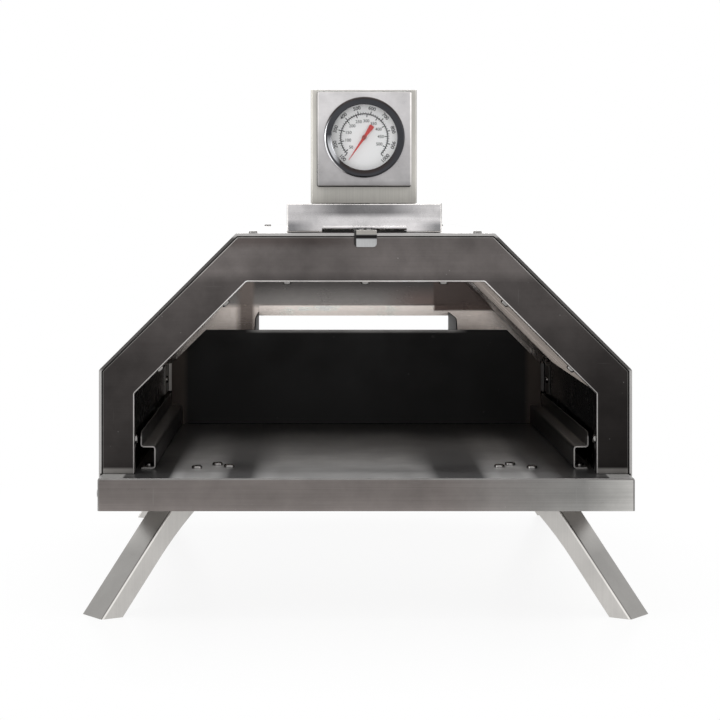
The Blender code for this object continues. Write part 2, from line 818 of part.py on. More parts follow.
def make_back_panel():
    """The rear wall, with an outer flange in the shell and an inner one that the liner sits on."""
    face = deep(BODY_DEPTH - SHEET)
    outer = shifted(shell_line(FLOOR + GAP), SHEET + GAP)
    base = FLOOR + GAP
    gate = line([(BURNER_HALF, base), (BURNER_HALF, FLOOR + BURNER_HEIGHT),
                 (-BURNER_HALF, FLOOR + BURNER_HEIGHT), (-BURNER_HALF, base)])
    plate = prism(rounded(outer, SHEET, 0) + gate, face, deep(BODY_DEPTH), "xz")
    panel = make_object("back_panel", plate, BRUSHED_STEEL)
    reach = deep(BODY_DEPTH - PANEL_FLANGE)
    weld(panel, folded_sheet(outer, SHEET, reach, face + SHEET / 2, "xz"))
    inner = shifted(opening_line(), -SHEET)
    weld(panel, folded_sheet(inner, SHEET, reach, face + SHEET / 2, "xz"))
    top = FLOOR + BURNER_HEIGHT
    lip = [(face + SHEET / 2, top), (face + SHEET / 2, top + SHEET),
           (face - LIP_RISE, top + LIP_RISE + SHEET), (face - LIP_RISE, top + LIP_RISE)]
    weld(panel, prism(lip, GAP - BURNER_HALF, BURNER_HALF - GAP, "yz"))
    drill(panel, roof_screw_places() + box_screw_places(), SCREW_SHANK)


def make_inner_liner():
    start = shifted(opening_line(), -2 * SHEET - GAP)
    sheet = folded_sheet(start, SHEET, deep(SHEET + GAP), deep(BODY_DEPTH - SHEET - GAP), "xz")
    liner = make_object("inner_liner", sheet, BRUSHED_STEEL)
    cut(liner, flue_cutter(MOUTH_TOP + SHEET + GAP))
    drill(liner, return_screw_places() + baffle_screw_places(), SCREW_SHANK)


def make_insulation_blanket():
    outer = shifted(shell_line(FLOOR + OVERRUN), SHEET + GAP)
    inner = shifted(outer, BLANKET_THICKNESS)
    start = deep(PANEL_FLANGE + GAP)
    end = deep(BODY_DEPTH - PANEL_FLANGE - GAP)
    blanket = make_object("insulation_blanket", prism(outer + inner[::-1], start, end, "xz"),
                          FIBRE)
    hole = COLLAR_HALF - SHEET
    cut(blanket, block((-hole, deep(FLUE_CENTRE) - hole, ROOF - BLANKET_THICKNESS - OVERRUN),
                       (hole, deep(FLUE_CENTRE) + hole, ROOF + OVERRUN)))


# Cooking space

def make_stone_rail(name, side):
    """A Z-section: foot on the floor, web, ledge for the stone and an upright at its edge."""
    web = RAIL_HALF
    base = FLOOR + GAP
    section = line([(web + RAIL_FOOT, base), (web, base), (web, FLOOR + RAIL_LEDGE_HEIGHT),
                    (web + RAIL_LEDGE, FLOOR + RAIL_LEDGE_HEIGHT),
                    (web + RAIL_LEDGE, FLOOR + RAIL_TOP)])
    front = deep(RAIL_FRONT)
    solid = folded_sheet(section, SHEET, front, deep(BAFFLE_DEPTH - GAP), "xz")
    bmesh.ops.scale(solid, vec=(side, 1, 1), verts=solid.verts)
    rail = make_object(name, solid, BLACK_STEEL)
    corner = Vector((front, FLOOR + RAIL_TOP))
    centre = corner + Vector((RAIL_NOSE, -RAIL_NOSE))
    nose = [corner + Vector((-OVERRUN, -RAIL_NOSE))]
    nose += arc(centre, RAIL_NOSE, math.pi, math.pi / 2, 2 * BEND_STEPS)
    nose += [corner + Vector((RAIL_NOSE, OVERRUN)), corner + Vector((-OVERRUN, OVERRUN))]
    reach = sorted((side * (web + RAIL_LEDGE - OVERRUN), side * (web + RAIL_LEDGE + OVERRUN)))
    cut(rail, prism(nose, reach[0], reach[1], "yz"))
    drill(rail, rail_screw_places(), SCREW_SHANK)


def make_baffle_plate():
    """The flame baffle behind the rails' ends, standing on a foot, its top corners cut off."""
    half = RAIL_HALF + RAIL_LEDGE - GAP
    base = FLOOR + GAP
    top = FLOOR + BAFFLE_HEIGHT
    chamfer = shifted(opening_line(), BAFFLE_CLEARANCE)[1:3]
    low_end = meeting(chamfer, line([(-half, FLOOR), (-half, ROOF)]))
    high_end = meeting(chamfer, line([(-half, top), (0, top)]))
    outline = [(-half, base), tuple(low_end), tuple(high_end)]
    outline += [(-across, height) for across, height in reversed(outline)]
    front = deep(BAFFLE_DEPTH)
    plate = prism(outline, front, front + BAFFLE_THICKNESS, "xz")
    baffle = make_object("baffle_plate", plate, BLACK_STEEL)
    inset = half - BAFFLE_FOOT
    weld(baffle, block((-inset, front + BAFFLE_THICKNESS / 2, base),
                       (inset, front + BAFFLE_THICKNESS + BAFFLE_FOOT, base + BAFFLE_THICKNESS)))


def make_baffle_bracket(name, side):
    """An angle: its long strap lies on the liner's wall, its short tab stands behind the baffle."""
    wall = MOUTH_HALF + SHEET
    tab = deep(BAFFLE_DEPTH + BAFFLE_THICKNESS + GAP)
    section = line([(wall - BRACKET_TAB, tab + SHEET), (wall, tab + SHEET),
                    (wall, tab + SHEET - BRACKET_STRAP)])
    solid = folded_sheet(section, SHEET, FLOOR + BRACKET_LOW, FLOOR + BRACKET_HIGH, "xy")
    bmesh.ops.scale(solid, vec=(side, 1, 1), verts=solid.verts)
    bracket = make_object(name, solid, BLACK_STEEL)
    drill(bracket, baffle_screw_places(), SCREW_SHANK)


def make_burner_side_plate(name, side):
    """An angle on the floor with a well-rounded front corner, its foot relieved at a leg bolt."""
    front, rear = side_plate_span()
    base = FLOOR + GAP
    section = line([(BURNER_HALF + SIDE_PLATE_FOOT, base), (BURNER_HALF, base),
                    (BURNER_HALF, FLOOR + SIDE_PLATE_HEIGHT)])
    solid = folded_sheet(section, SHEET, deep(front), deep(rear), "xz")
    bmesh.ops.scale(solid, vec=(side, 1, 1), verts=solid.verts)
    plate = make_object(name, solid, BRUSHED_STEEL)
    corner = Vector((deep(front), FLOOR + SIDE_PLATE_HEIGHT))
    radius = SIDE_PLATE_CORNER
    waste = [corner + Vector((-OVERRUN, -radius))]
    waste += arc(corner + Vector((radius, -radius)), radius, math.pi, math.pi / 2,
                 3 * BEND_STEPS)
    waste += [corner + Vector((radius, OVERRUN)), corner + Vector((-OVERRUN, OVERRUN))]
    reach = sorted((side * (BURNER_HALF - OVERRUN), side * (BURNER_HALF + OVERRUN)))
    cut(plate, prism(waste, reach[0], reach[1], "yz"))
    drill(plate, side_plate_screw_places(), SCREW_SHANK)
    heads = [rod(Vector(seat) - Vector(direction) * OVERRUN, direction,
                 BOLT_HEAD + HOLE_CLEARANCE + GAP, 2 * OVERRUN)
             for seat, direction, _ in leg_bolt_places()]
    cut(plate, gather(heads))


# Chimney

def make_flue_sleeve():
    """A short duct between the two roofs, with a flange on the liner."""
    base = MOUTH_TOP + 2 * (SHEET + GAP)
    top = ROOF - SHEET - GAP
    profile = [(0, base), (SHEET + SLEEVE_FLANGE, base), (SHEET + SLEEVE_FLANGE, base + SHEET),
               (SHEET, base + SHEET), (SHEET, top), (0, top)]
    make_object("flue_sleeve", duct(profile, FLUE_WIDTH / 2, FLUE_DEPTH / 2, COLLAR_CORNER,
                                    0, deep(FLUE_CENTRE)), BRUSHED_STEEL)


def make_chimney_collar():
    """Low square housing of the damper, with a spigot that the chimney slips over."""
    base = ROOF + GAP
    wall = COLLAR_HALF - SPIGOT_HALF
    top = COLLAR_TOP
    profile = [(wall - SHEET - COLLAR_FLANGE, base), (wall, base), (wall, top), (SHEET, top),
               (SHEET, top + SPIGOT_HEIGHT), (0, top + SPIGOT_HEIGHT), (0, top - SHEET),
               (wall - SHEET, top - SHEET), (wall - SHEET, base + SHEET),
               (wall - SHEET - COLLAR_FLANGE, base + SHEET)]
    collar = make_object("chimney_collar", duct(profile, SPIGOT_HALF, SPIGOT_HALF,
                                                COLLAR_CORNER, 0, deep(FLUE_CENTRE)),
                         BRIGHT_STEEL)
    half = DAMPER_WIDTH / 2 + GAP
    front = deep(FLUE_CENTRE) - COLLAR_HALF
    cut(collar, block((-half, front - OVERRUN, base - OVERRUN),
                      (half, front + SHEET + COLLAR_FLANGE + OVERRUN, base + DAMPER_SLOT_HEIGHT)))
    drill(collar, collar_rivet_places(), RIVET_SHANK)


def make_damper():
    base = ROOF + GAP
    half = DAMPER_WIDTH / 2
    tongue = TAB_WIDTH / 2
    nose = deep(FLUE_CENTRE) - COLLAR_HALF - DAMPER_NOSE
    rear = deep(FLUE_CENTRE + FLUE_DEPTH / 2 + DAMPER_COVER)
    tip = deep(TONGUE_INSET)
    outline = [(-half, nose), (-half, rear), (half, rear), (half, nose), (tongue, nose),
               (tongue, tip), (-tongue, tip), (-tongue, nose)]
    plate = make_object("damper_plate", prism(outline, base, base + SHEET, "xy"), BRUSHED_STEEL)
    drill(plate, damper_rivet_places(), RIVET_SHANK)
    section = line([(deep(TONGUE_INSET + TAB_LAP), base + 2 * SHEET + GAP),
                    (deep(-TAB_STANDOFF - SHEET), base + 2 * SHEET + GAP),
                    (deep(-TAB_STANDOFF - SHEET), ROOF - TAB_DROP)])
    tab = make_object("damper_tab", folded_sheet(section, -SHEET, -tongue, tongue, "yz"),
                      BRIGHT_STEEL)
    for side, start in ((-1, math.pi), (1, 2 * math.pi)):
        corner = Vector((side * tongue, ROOF - TAB_DROP))
        centre = corner + Vector((-side * TAB_CORNER, TAB_CORNER))
        waste = [corner + Vector((side * OVERRUN, TAB_CORNER))]
        waste += arc(centre, TAB_CORNER, start, 1.5 * math.pi, 2 * BEND_STEPS)
        waste += [corner + Vector((-side * TAB_CORNER, -OVERRUN)),
                  corner + Vector((side * OVERRUN, -OVERRUN))]
        cut(tab, prism(waste, deep(-TAB_STANDOFF - SHEET - OVERRUN),
                       deep(-TAB_STANDOFF + OVERRUN), "xz"))
    drill(tab, damper_rivet_places(), RIVET_SHANK)


def make_chimney_tube():
    inner = TUBE_HALF - SHEET
    profile = [(0, TUBE_FOOT), (SHEET, TUBE_FOOT), (SHEET, TUBE_TOP), (0, TUBE_TOP)]
    tube = make_object("chimney_tube", duct(profile, inner, inner, TUBE_CORNER, 0,
                                            deep(FLUE_CENTRE)), BRUSHED_STEEL)
    front = deep(FLUE_CENTRE) - TUBE_HALF
    cut(tube, rod((0, front - OVERRUN, DIAL_HEIGHT), (0, 1, 0), BOSS_RADIUS + HOLE_CLEARANCE,
                  SHEET + 2 * OVERRUN, ROUND_SIDES))


# Thermometer. Its parts are turned round Z facing up, then turned to face the front.

def plate_front():
    return deep(FLUE_CENTRE) - TUBE_HALF - GAP - PLATE_DEPTH


def dial_part(name, profile, sides, finish):
    """A turned part of the thermometer; heights are measured forward from the square plate."""
    solid = placed(turned(profile, sides), (0, plate_front(), DIAL_HEIGHT), (0, -1, 0))
    return make_object(name, solid, finish, smooth=True)


def make_thermometer_plate():
    front = plate_front()
    low = (-PLATE_WIDTH / 2, front, PLATE_TOP - PLATE_HEIGHT)
    high = (PLATE_WIDTH / 2, front + PLATE_DEPTH, PLATE_TOP)
    plate = tray("thermometer_plate", low, high, SHEET, PLATE_CORNER, (1, 1), BRIGHT_STEEL)
    cut(plate, rod((0, front - OVERRUN, DIAL_HEIGHT), (0, 1, 0), CASE_RADIUS + GAP,
                   SHEET + 2 * OVERRUN, DIAL_SIDES))


def make_thermometer():
    back = -CASE_DEPTH
    inner = CASE_RADIUS - CASE_WALL
    dial_part("thermometer_case",
              [(PROBE_RADIUS, back), (CASE_RADIUS, back), (CASE_RADIUS, CASE_RIM),
               (inner, CASE_RIM), (inner, back + CASE_WALL), (PROBE_RADIUS, back + CASE_WALL)],
              DIAL_SIDES, BRUSHED_STEEL)
    lip = CASE_RIM + 2 * GAP + GLASS_THICKNESS
    ring = CASE_RADIUS + GAP
    rim = ring + BEZEL_WALL
    window = CASE_RADIUS - BEZEL_LIP
    dial_part("thermometer_bezel",
              [(ring, GAP), (rim, GAP), (rim, BEZEL_DEPTH - BEZEL_SLOPE),
               (rim - BEZEL_SLOPE, BEZEL_DEPTH), (window + BEZEL_SLOPE, BEZEL_DEPTH),
               (window, lip + SHEET / 2), (window, lip), (ring, lip)],
              DIAL_SIDES, BRIGHT_STEEL)
    rear_glass = CASE_RIM + GAP
    dial_part("thermometer_glass",
              [(0, rear_glass), (CASE_RADIUS, rear_glass),
               (CASE_RADIUS, rear_glass + GLASS_THICKNESS), (0, rear_glass + GLASS_THICKNESS)],
              DIAL_SIDES, GLASS)
    hole = SPINDLE_RADIUS + GAP
    dial_part("thermometer_dial",
              [(hole, -DIAL_THICKNESS), (inner - GAP, -DIAL_THICKNESS), (inner - GAP, 0),
               (hole, 0)], DIAL_SIDES, DIAL_WHITE)
    tip = POINTER_LIFT + POINTER_THICKNESS
    dial_part("thermometer_spindle",
              [(0, tip - SPINDLE_LENGTH), (SPINDLE_RADIUS, tip - SPINDLE_LENGTH),
               (SPINDLE_RADIUS, tip + SPINDLE_TIP), (0, tip + SPINDLE_TIP)],
              SMALL_SIDES, SCREW_STEEL)
    seat = back - GAP
    boss_end = seat - BOSS_LENGTH
    bore_end = tip - SPINDLE_LENGTH - OVERRUN
    dial_part("thermometer_stem",
              [(0, boss_end - PROBE_LENGTH), (PROBE_RADIUS, boss_end - PROBE_LENGTH),
               (PROBE_RADIUS, boss_end), (BOSS_RADIUS, boss_end), (BOSS_RADIUS, seat),
               (BORE_RADIUS, seat), (BORE_RADIUS, bore_end), (0, bore_end)],
              ROUND_SIDES, BRUSHED_STEEL)
    wall = deep(FLUE_CENTRE) - TUBE_HALF + SHEET + GAP
    nut = placed(hexagon_nut(NUT_WIDTH, NUT_THICKNESS, BOSS_RADIUS + HOLE_CLEARANCE),
                 (0, wall, DIAL_HEIGHT), (0, 1, 0))
    make_object("thermometer_nut", nut, SCREW_STEEL)


def make_pointer():
    """A tapered red needle with a broad tail, pointing down to the left at rest."""
    spread = math.radians(30)
    quarter = math.pi / 2
    hub = arc(Vector((0, 0)), POINTER_HUB, quarter - spread, quarter + spread, BEND_STEPS)
    other = arc(Vector((0, 0)), POINTER_HUB, -quarter - spread, -quarter + spread, BEND_STEPS)
    tail = POINTER_TAIL_WIDTH / 2
    tip = POINTER_TIP_WIDTH / 2
    length = CASE_RADIUS - CASE_WALL - POINTER_CLEARANCE
    outline = [(length, -tip), (length, tip)]
    outline += [(point.x, point.y) for point in hub]
    outline += [(-POINTER_TAIL, tail), (-POINTER_TAIL, -tail)]
    outline += [(point.x, point.y) for point in other]
    solid = prism(outline, POINTER_LIFT, POINTER_LIFT + POINTER_THICKNESS, "xy")
    turn = Matrix(((-math.sin(POINTER_ANGLE), -math.cos(POINTER_ANGLE), 0, 0),
                   (0, 0, -1, plate_front()),
                   (-math.cos(POINTER_ANGLE), math.sin(POINTER_ANGLE), 0, DIAL_HEIGHT),
                   (0, 0, 0, 1)))
    bmesh.ops.transform(solid, matrix=turn, verts=solid.verts)
    pointer = make_object("thermometer_pointer", solid, POINTER_RED)
    cut(pointer, rod((0, plate_front() - OVERRUN, DIAL_HEIGHT), (0, 1, 0),
                     SPINDLE_RADIUS + GAP, 2 * OVERRUN))


# Folding legs, drawn in the plane of their fold: inward distance from the foot and height

def leg_outline(web):
    """Side view of a leg, its web face set in by a distance and its top carried on to the pin."""
    lean = math.tan(LEG_LEAN)
    cosine = math.cos(LEG_LEAN)
    inset = web / cosine
    pin = Vector((PIN_HEIGHT * lean + LEG_PIN_DEPTH / cosine, PIN_HEIGHT))
    top = PIN_HEIGHT + LEG_EAR_RADIUS
    down = Vector((-math.sin(LEG_LEAN), -cosine))
    inward = Vector((cosine, -math.sin(LEG_LEAN)))
    outline = [Vector((inset, 0)), Vector((top * lean + inset, top)), Vector((pin.x, top))]
    outline += arc(pin, LEG_EAR_RADIUS, math.pi / 2, -LEG_LEAN, 2 * LEG_FLARE_STEPS)[1:]
    run = (PIN_HEIGHT - LEG_FLARE_HEIGHT) / cosine
    spread = LEG_PIN_DEPTH + LEG_EAR_RADIUS - LEG_FLANGE
    for step in range(1, LEG_FLARE_STEPS + 1):
        share = step / LEG_FLARE_STEPS
        widening = spread * (1 - share) ** 2
        point = pin + down * (run * share)
        point += inward * (LEG_FLANGE + widening - LEG_PIN_DEPTH)
        outline.append(point)
    outline.append(Vector((LEG_FLANGE / cosine, 0)))
    return pin, outline


def hinge_outline():
    """Side view of a hinge bracket: a long plate under the floor and round ears."""
    pin, _ = leg_outline(0)
    low = [pin + Vector((-HINGE_OUTWARD, HINGE_UNDER - PIN_HEIGHT))]
    low += arc(pin, HINGE_EAR_RADIUS, math.pi, 2 * math.pi, LEG_FLARE_STEPS)
    low += [pin + Vector((HINGE_EAR_INWARD, HINGE_UNDER - PIN_HEIGHT)),
            pin + Vector((HINGE_INWARD, HINGE_UNDER - PIN_HEIGHT)),
            pin + Vector((HINGE_INWARD, HINGE_TOP - PIN_HEIGHT)),
            pin + Vector((-HINGE_OUTWARD, HINGE_TOP - PIN_HEIGHT))]
    return low


def on_corner(solid, pin, heading):
    """Moves a solid from the fold plane, where X runs inward, to its corner of the oven."""
    start, _ = leg_outline(0)
    to_pin = Matrix.Translation((-start.x, 0, -PIN_HEIGHT))
    turn = Matrix.Rotation(heading, 4, "Z")
    bmesh.ops.transform(solid, matrix=turn @ to_pin, verts=solid.verts)
    return solid


def make_leg(corner, pin, heading):
    """A channel with a leaning web outside, its flanges widened to ears round the pin."""
    half = LEG_WIDTH / 2
    _, outline = leg_outline(0)
    leg = make_object(f"leg_{corner}",
                      on_corner(prism(outline, -half, half, "xz"), pin, heading), BRUSHED_STEEL)
    lean = math.tan(LEG_LEAN)
    inset = HEAVY_SHEET / math.cos(LEG_LEAN)
    low = -OVERRUN
    high = HINGE_TOP
    reach = high * lean + inset + HINGE_INWARD
    waste = [(low * lean + inset, low), (high * lean + inset, high), (reach, high), (reach, low)]
    inner = half - HEAVY_SHEET
    cut(leg, on_corner(prism(waste, -inner, inner, "xz"), pin, heading))
    start, _ = leg_outline(0)
    bore = rod((start.x, -half - OVERRUN, PIN_HEIGHT), (0, 1, 0), PIN_RADIUS + HOLE_CLEARANCE,
               LEG_WIDTH + 2 * OVERRUN, ROUND_SIDES)
    cut(leg, on_corner(bore, pin, heading))
    leg.location = pin


def make_hinge_bracket(corner, pin, heading):
    """A U-bracket: plate bolted under the floor, ears either side of the leg."""
    inner = LEG_WIDTH / 2 + GAP
    half = inner + HEAVY_SHEET
    bracket = make_object(f"leg_bracket_{corner}",
                          on_corner(prism(hinge_outline(), -half, half, "xz"), pin, heading),
                          SCREW_STEEL)
    start, _ = leg_outline(0)
    waste = block((start.x - HINGE_OUTWARD - OVERRUN, -inner, 0),
                  (start.x + HINGE_INWARD + OVERRUN, inner, HINGE_UNDER))
    cut(bracket, on_corner(waste, pin, heading))
    bore = rod((start.x, -half - OVERRUN, PIN_HEIGHT), (0, 1, 0), PIN_RADIUS + HOLE_CLEARANCE,
               2 * (half + OVERRUN), ROUND_SIDES)
    cut(bracket, on_corner(bore, pin, heading))
    bracket.location = pin
    bpy.context.view_layer.update()
    drill_placed(bracket, leg_bolt_places(), BOLT_SHANK)


def drill_placed(part, places, shank):
    """Drills a part whose origin isn't the scene's, by bringing the places to it."""
    nearby = []
    for seat, direction, grip in places:
        if (Vector(seat) - part.location).length < LEG_CLEARANCE:
            nearby.append((Vector(seat), direction, grip))
    drill(part, nearby, shank)


def make_leg_pin(corner, pin, heading):
    """A headed pin through the bracket's ears and the leg."""
    half = LEG_WIDTH / 2 + 2 * GAP + HEAVY_SHEET
    end = half + PIN_HEAD_HEIGHT
    profile = [(0, -end), (PIN_HEAD, -end), (PIN_HEAD, -half), (PIN_RADIUS, -half),
               (PIN_RADIUS, half), (PIN_HEAD, half), (PIN_HEAD, end), (0, end)]
    across = Matrix.Rotation(heading, 3, "Z") @ Vector((0, 1, 0))
    solid = turned(profile, ROUND_SIDES)
    bmesh.ops.transform(solid, matrix=facing(across), verts=solid.verts)
    part = make_object(f"leg_pin_{corner}", solid, SCREW_STEEL, smooth=True)
    part.location = pin


def make_leg_bolts():
    names = []
    for corner, _, _ in leg_corners():
        names += [f"leg_bolt_{corner}_{count}" for count in (1, 2, 3)]
    make_bolts(names, leg_bolt_places())


# Burner

def drawer_half():
    return BURNER_HALF - DRAWER_SIDE_GAP


def make_fuel_drawer():
    half = drawer_half()
    front = BAFFLE_DEPTH + DRAWER_FRONT
    low = (-half, deep(front), FLOOR + GAP)
    high = (half, deep(FACE_FRONT + FACE_THICKNESS / 2), FLOOR + GAP + DRAWER_HEIGHT)
    drawer = tray("fuel_drawer", low, high, SHEET, PAN_CORNER, (2, 1), BRUSHED_STEEL)
    face = half + FACE_SIDE_LAP
    weld(drawer, block((-face, deep(FACE_FRONT), FLOOR + GAP + SHEET),
                       (face, deep(FACE_FRONT + FACE_THICKNESS),
                        FLOOR + DRAWER_HEIGHT + FACE_TOP_LAP)))
    height = FLOOR + DRAWER_HEIGHT / 2
    holes = []
    for side in (-1, 1):
        for count in range(1, AIR_HOLES_PER_SIDE + 1):
            holes.append(rod((side * count * AIR_HOLE_PITCH, deep(FACE_FRONT) - OVERRUN, height),
                             (0, 1, 0), AIR_HOLE_RADIUS, FACE_THICKNESS + 2 * OVERRUN,
                             ROUND_SIDES))
    cut(drawer, gather(holes))
    drill(drawer, knob_screw_places(), BOLT_SHANK)


def knob_screw_places():
    inside = deep(FACE_FRONT) - SHEET + FACE_THICKNESS / 2
    return [((0, inside, FLOOR + DRAWER_HEIGHT / 2), (0, -1, 0),
             FACE_THICKNESS + SHEET + GAP + KNOB_BORE_DEPTH / 2)]


def make_drawer_knob():
    """A turned knob with a blind bore for its screw."""
    bore = BOLT_SHANK + HOLE_CLEARANCE
    edge = KNOB_RADIUS - KNOB_ROUND
    low = Vector((edge, KNOB_NECK_LENGTH + KNOB_ROUND))
    high = Vector((edge, KNOB_LENGTH - KNOB_ROUND))
    profile = [(0, KNOB_BORE_DEPTH), (bore, KNOB_BORE_DEPTH), (bore, 0), (KNOB_NECK, 0),
               (KNOB_NECK, KNOB_NECK_LENGTH)]
    profile += [tuple(point) for point in arc(low, KNOB_ROUND, -math.pi / 2, 0, BEND_STEPS)]
    profile += [tuple(point) for point in arc(high, KNOB_ROUND, 0, math.pi / 2, BEND_STEPS)]
    profile.append((0, KNOB_LENGTH))
    solid = turned(profile, ROUND_SIDES)
    seat = (0, deep(KNOB_SEAT), FLOOR + DRAWER_HEIGHT / 2)
    make_object("drawer_knob", placed(solid, seat, (0, 1, 0)), KNOB_BLACK, smooth=True)
    make_bolts(["drawer_knob_screw"], knob_screw_places())


def make_fuel_grate():
    """A slotted bridge that holds the pellets off the drawer's floor."""
    half = drawer_half() - SHEET - GRATE_SIDE_GAP
    base = FLOOR + 2 * GAP + SHEET
    top = base + GRATE_HEIGHT
    front = BAFFLE_DEPTH + DRAWER_FRONT + SHEET + GRATE_END_GAP
    section = line([(-half, base), (-half, top), (half, top), (half, base)])
    grate = make_object("fuel_grate", folded_sheet(section, SHEET, deep(front),
                                                   deep(front + GRATE_LENGTH), "xz"),
                        BLACK_STEEL)
    column = 2 * (half - 2 * BEND_RADIUS - SHEET) / GRATE_COLUMNS
    row = GRATE_LENGTH / GRATE_ROWS
    slots = []
    for across in range(GRATE_COLUMNS):
        middle = (across - (GRATE_COLUMNS - 1) / 2) * column
        for along in range(GRATE_ROWS):
            centre = deep(front + (along + 0.5) * row)
            reach_x = column * GRATE_SLOT_SHARE / 2
            reach_y = row * GRATE_OPEN_SHARE / 2
            slots.append(block((middle - reach_x, centre - reach_y, top - OVERRUN),
                               (middle + reach_x, centre + reach_y, top + OVERRUN)))
    cut(grate, gather(slots))


def lid_pin_place():
    """Setback and height of the lid's pin."""
    return BODY_DEPTH + GAP + LID_PIN_SETBACK, FLOOR + BOX_HEIGHT + LID_PIN_RISE


def ear(radius, base, run):
    """Side view of an ear round the lid's pin, standing on a base height."""
    setback, height = lid_pin_place()
    centre = Vector((deep(setback), height))
    outline = arc(centre, radius, math.pi, 0, 2 * BEND_STEPS + 2)
    return outline + [Vector((centre.x + radius + run, base)), Vector((centre.x - radius, base))]


def make_pellet_box():
    """Loading box behind the rear opening: open in front and above, a slot for the drawer."""
    half = BURNER_HALF
    front = deep(BODY_DEPTH + GAP)
    rear = deep(BOX_REAR)
    base = FLOOR - GAP - SHEET
    top = FLOOR + BOX_HEIGHT
    box = make_object("pellet_box", block((-half, front, base), (half, rear, top)),
                      BRUSHED_STEEL)
    cut(box, block((-half + SHEET, front - OVERRUN, base + SHEET),
                   (half - SHEET, rear - SHEET, top + OVERRUN)))
    gate = drawer_half() + GAP
    cut(box, block((-gate, rear - SHEET - OVERRUN, base + SHEET),
                   (gate, rear + OVERRUN, FLOOR + DRAWER_HEIGHT + 2 * GAP)))
    for side in (-1, 1):
        reach = sorted((side * (half - SHEET / 2), side * (half + BOX_FLANGE)))
        weld(box, block((reach[0], front, FLOOR + BOX_FLANGE_LOW),
                        (reach[1], front + SHEET, FLOOR + BOX_FLANGE_HIGH)))
        wall = sorted((side * (half - SHEET), side * half))
        weld(box, prism(ear(LID_EAR_RADIUS, top - SHEET, LID_CLEAR), wall[0], wall[1], "yz"))
    setback, height = lid_pin_place()
    cut(box, rod((-half - OVERRUN, deep(setback), height), (1, 0, 0),
                 LID_PIN_RADIUS + HOLE_CLEARANCE, 2 * (half + OVERRUN)))
    drill(box, box_screw_places(), SCREW_SHANK)


def make_pellet_box_lid():
    """A lid with a rim on three sides, ears round the pin and a pull at its rear edge."""
    setback, height = lid_pin_place()
    inner = BURNER_HALF + GAP
    half = inner + SHEET
    front = deep(setback) + LID_EAR_RADIUS + LID_CLEAR
    rear = deep(BOX_REAR + GAP + SHEET)
    under = FLOOR + BOX_HEIGHT + GAP
    top = under + SHEET
    base = top - LID_RIM
    lid = make_object("pellet_box_lid", block((-half, front, base), (half, rear, top)),
                      BRUSHED_STEEL)
    cut(lid, block((-inner, front - OVERRUN, base - OVERRUN), (inner, rear - SHEET, under)))
    for side in (-1, 1):
        wall = sorted((side * inner, side * half))
        weld(lid, prism(ear(LID_EAR_RADIUS, base, LID_CLEAR + SHEET), wall[0], wall[1], "yz"))
    pull = LID_PULL_WIDTH / 2
    weld(lid, block((-pull, rear - SHEET / 2, base), (pull, rear + LID_PULL_REACH, base + SHEET)))
    cut(lid, rod((-half - OVERRUN, deep(setback), height), (1, 0, 0),
                 LID_PIN_RADIUS + HOLE_CLEARANCE, 2 * (half + OVERRUN)))


def make_lid_pin():
    setback, height = lid_pin_place()
    half = BURNER_HALF + 2 * GAP + SHEET
    end = half + PIN_HEAD_HEIGHT
    profile = [(0, -end), (2 * LID_PIN_RADIUS, -end), (2 * LID_PIN_RADIUS, -half),
               (LID_PIN_RADIUS, -half), (LID_PIN_RADIUS, half), (2 * LID_PIN_RADIUS, half),
               (2 * LID_PIN_RADIUS, end), (0, end)]
    solid = placed(turned(profile, SMALL_SIDES), (0, deep(setback), height), (1, 0, 0))
    make_object("lid_pin", solid, SCREW_STEEL, smooth=True)


def build():
    clear_scene()
    make_base_pan()
    make_outer_shell()
    make_front_panel()
    make_back_panel()
    make_inner_liner()
    make_insulation_blanket()
    for name, side in (("left", -1), ("right", 1)):
        make_stone_rail(f"stone_rail_{name}", side)
        make_baffle_bracket(f"baffle_bracket_{name}", side)
        make_burner_side_plate(f"burner_side_plate_{name}", side)
    make_baffle_plate()
    make_flue_sleeve()
    make_chimney_collar()
    make_damper()
    make_chimney_tube()
    make_thermometer_plate()
    make_thermometer()
    make_pointer()
    for corner, pin, heading in leg_corners():
        make_leg(corner, pin, heading)
        make_hinge_bracket(corner, pin, heading)
        make_leg_pin(corner, pin, heading)
    make_leg_bolts()
    make_fuel_drawer()
    make_fuel_grate()
    make_drawer_knob()
    make_pellet_box()
    make_pellet_box_lid()
    make_lid_pin()


build()
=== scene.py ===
"""Looks of a pellet pizza oven for a table top.

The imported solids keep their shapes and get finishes. Folded sheets are copied so that their
bends can be rounded. Screws, rivets, leg bolts, the slot's hem, the dial's markings, its needle
and bezel, and the drawer's knob are modelled here.
"""

import math
from contextlib import contextmanager

import bmesh
import bpy
from bpy.props import FloatProperty, FloatVectorProperty, IntProperty, PointerProperty
from bpy.types import Operator, Panel, PropertyGroup
from mathutils import Euler, Matrix, Vector


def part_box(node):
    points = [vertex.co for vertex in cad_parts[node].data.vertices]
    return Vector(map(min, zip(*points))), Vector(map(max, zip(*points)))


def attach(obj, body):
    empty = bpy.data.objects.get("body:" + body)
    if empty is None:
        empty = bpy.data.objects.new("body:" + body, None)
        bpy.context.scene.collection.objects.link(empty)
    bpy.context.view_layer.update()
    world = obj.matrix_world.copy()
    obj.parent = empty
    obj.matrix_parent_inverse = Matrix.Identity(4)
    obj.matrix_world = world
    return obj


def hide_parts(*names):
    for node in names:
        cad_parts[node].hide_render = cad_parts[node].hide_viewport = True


bl_info = {
    "name": "Pellet pizza oven",
    "version": (1, 0, 0),
    "blender": (4, 5, 0),
    "location": "3D View > Sidebar > Pizza oven",
    "description": "Finishes, fasteners, dial and studio for the pellet pizza oven",
    "category": "Add Mesh",
}

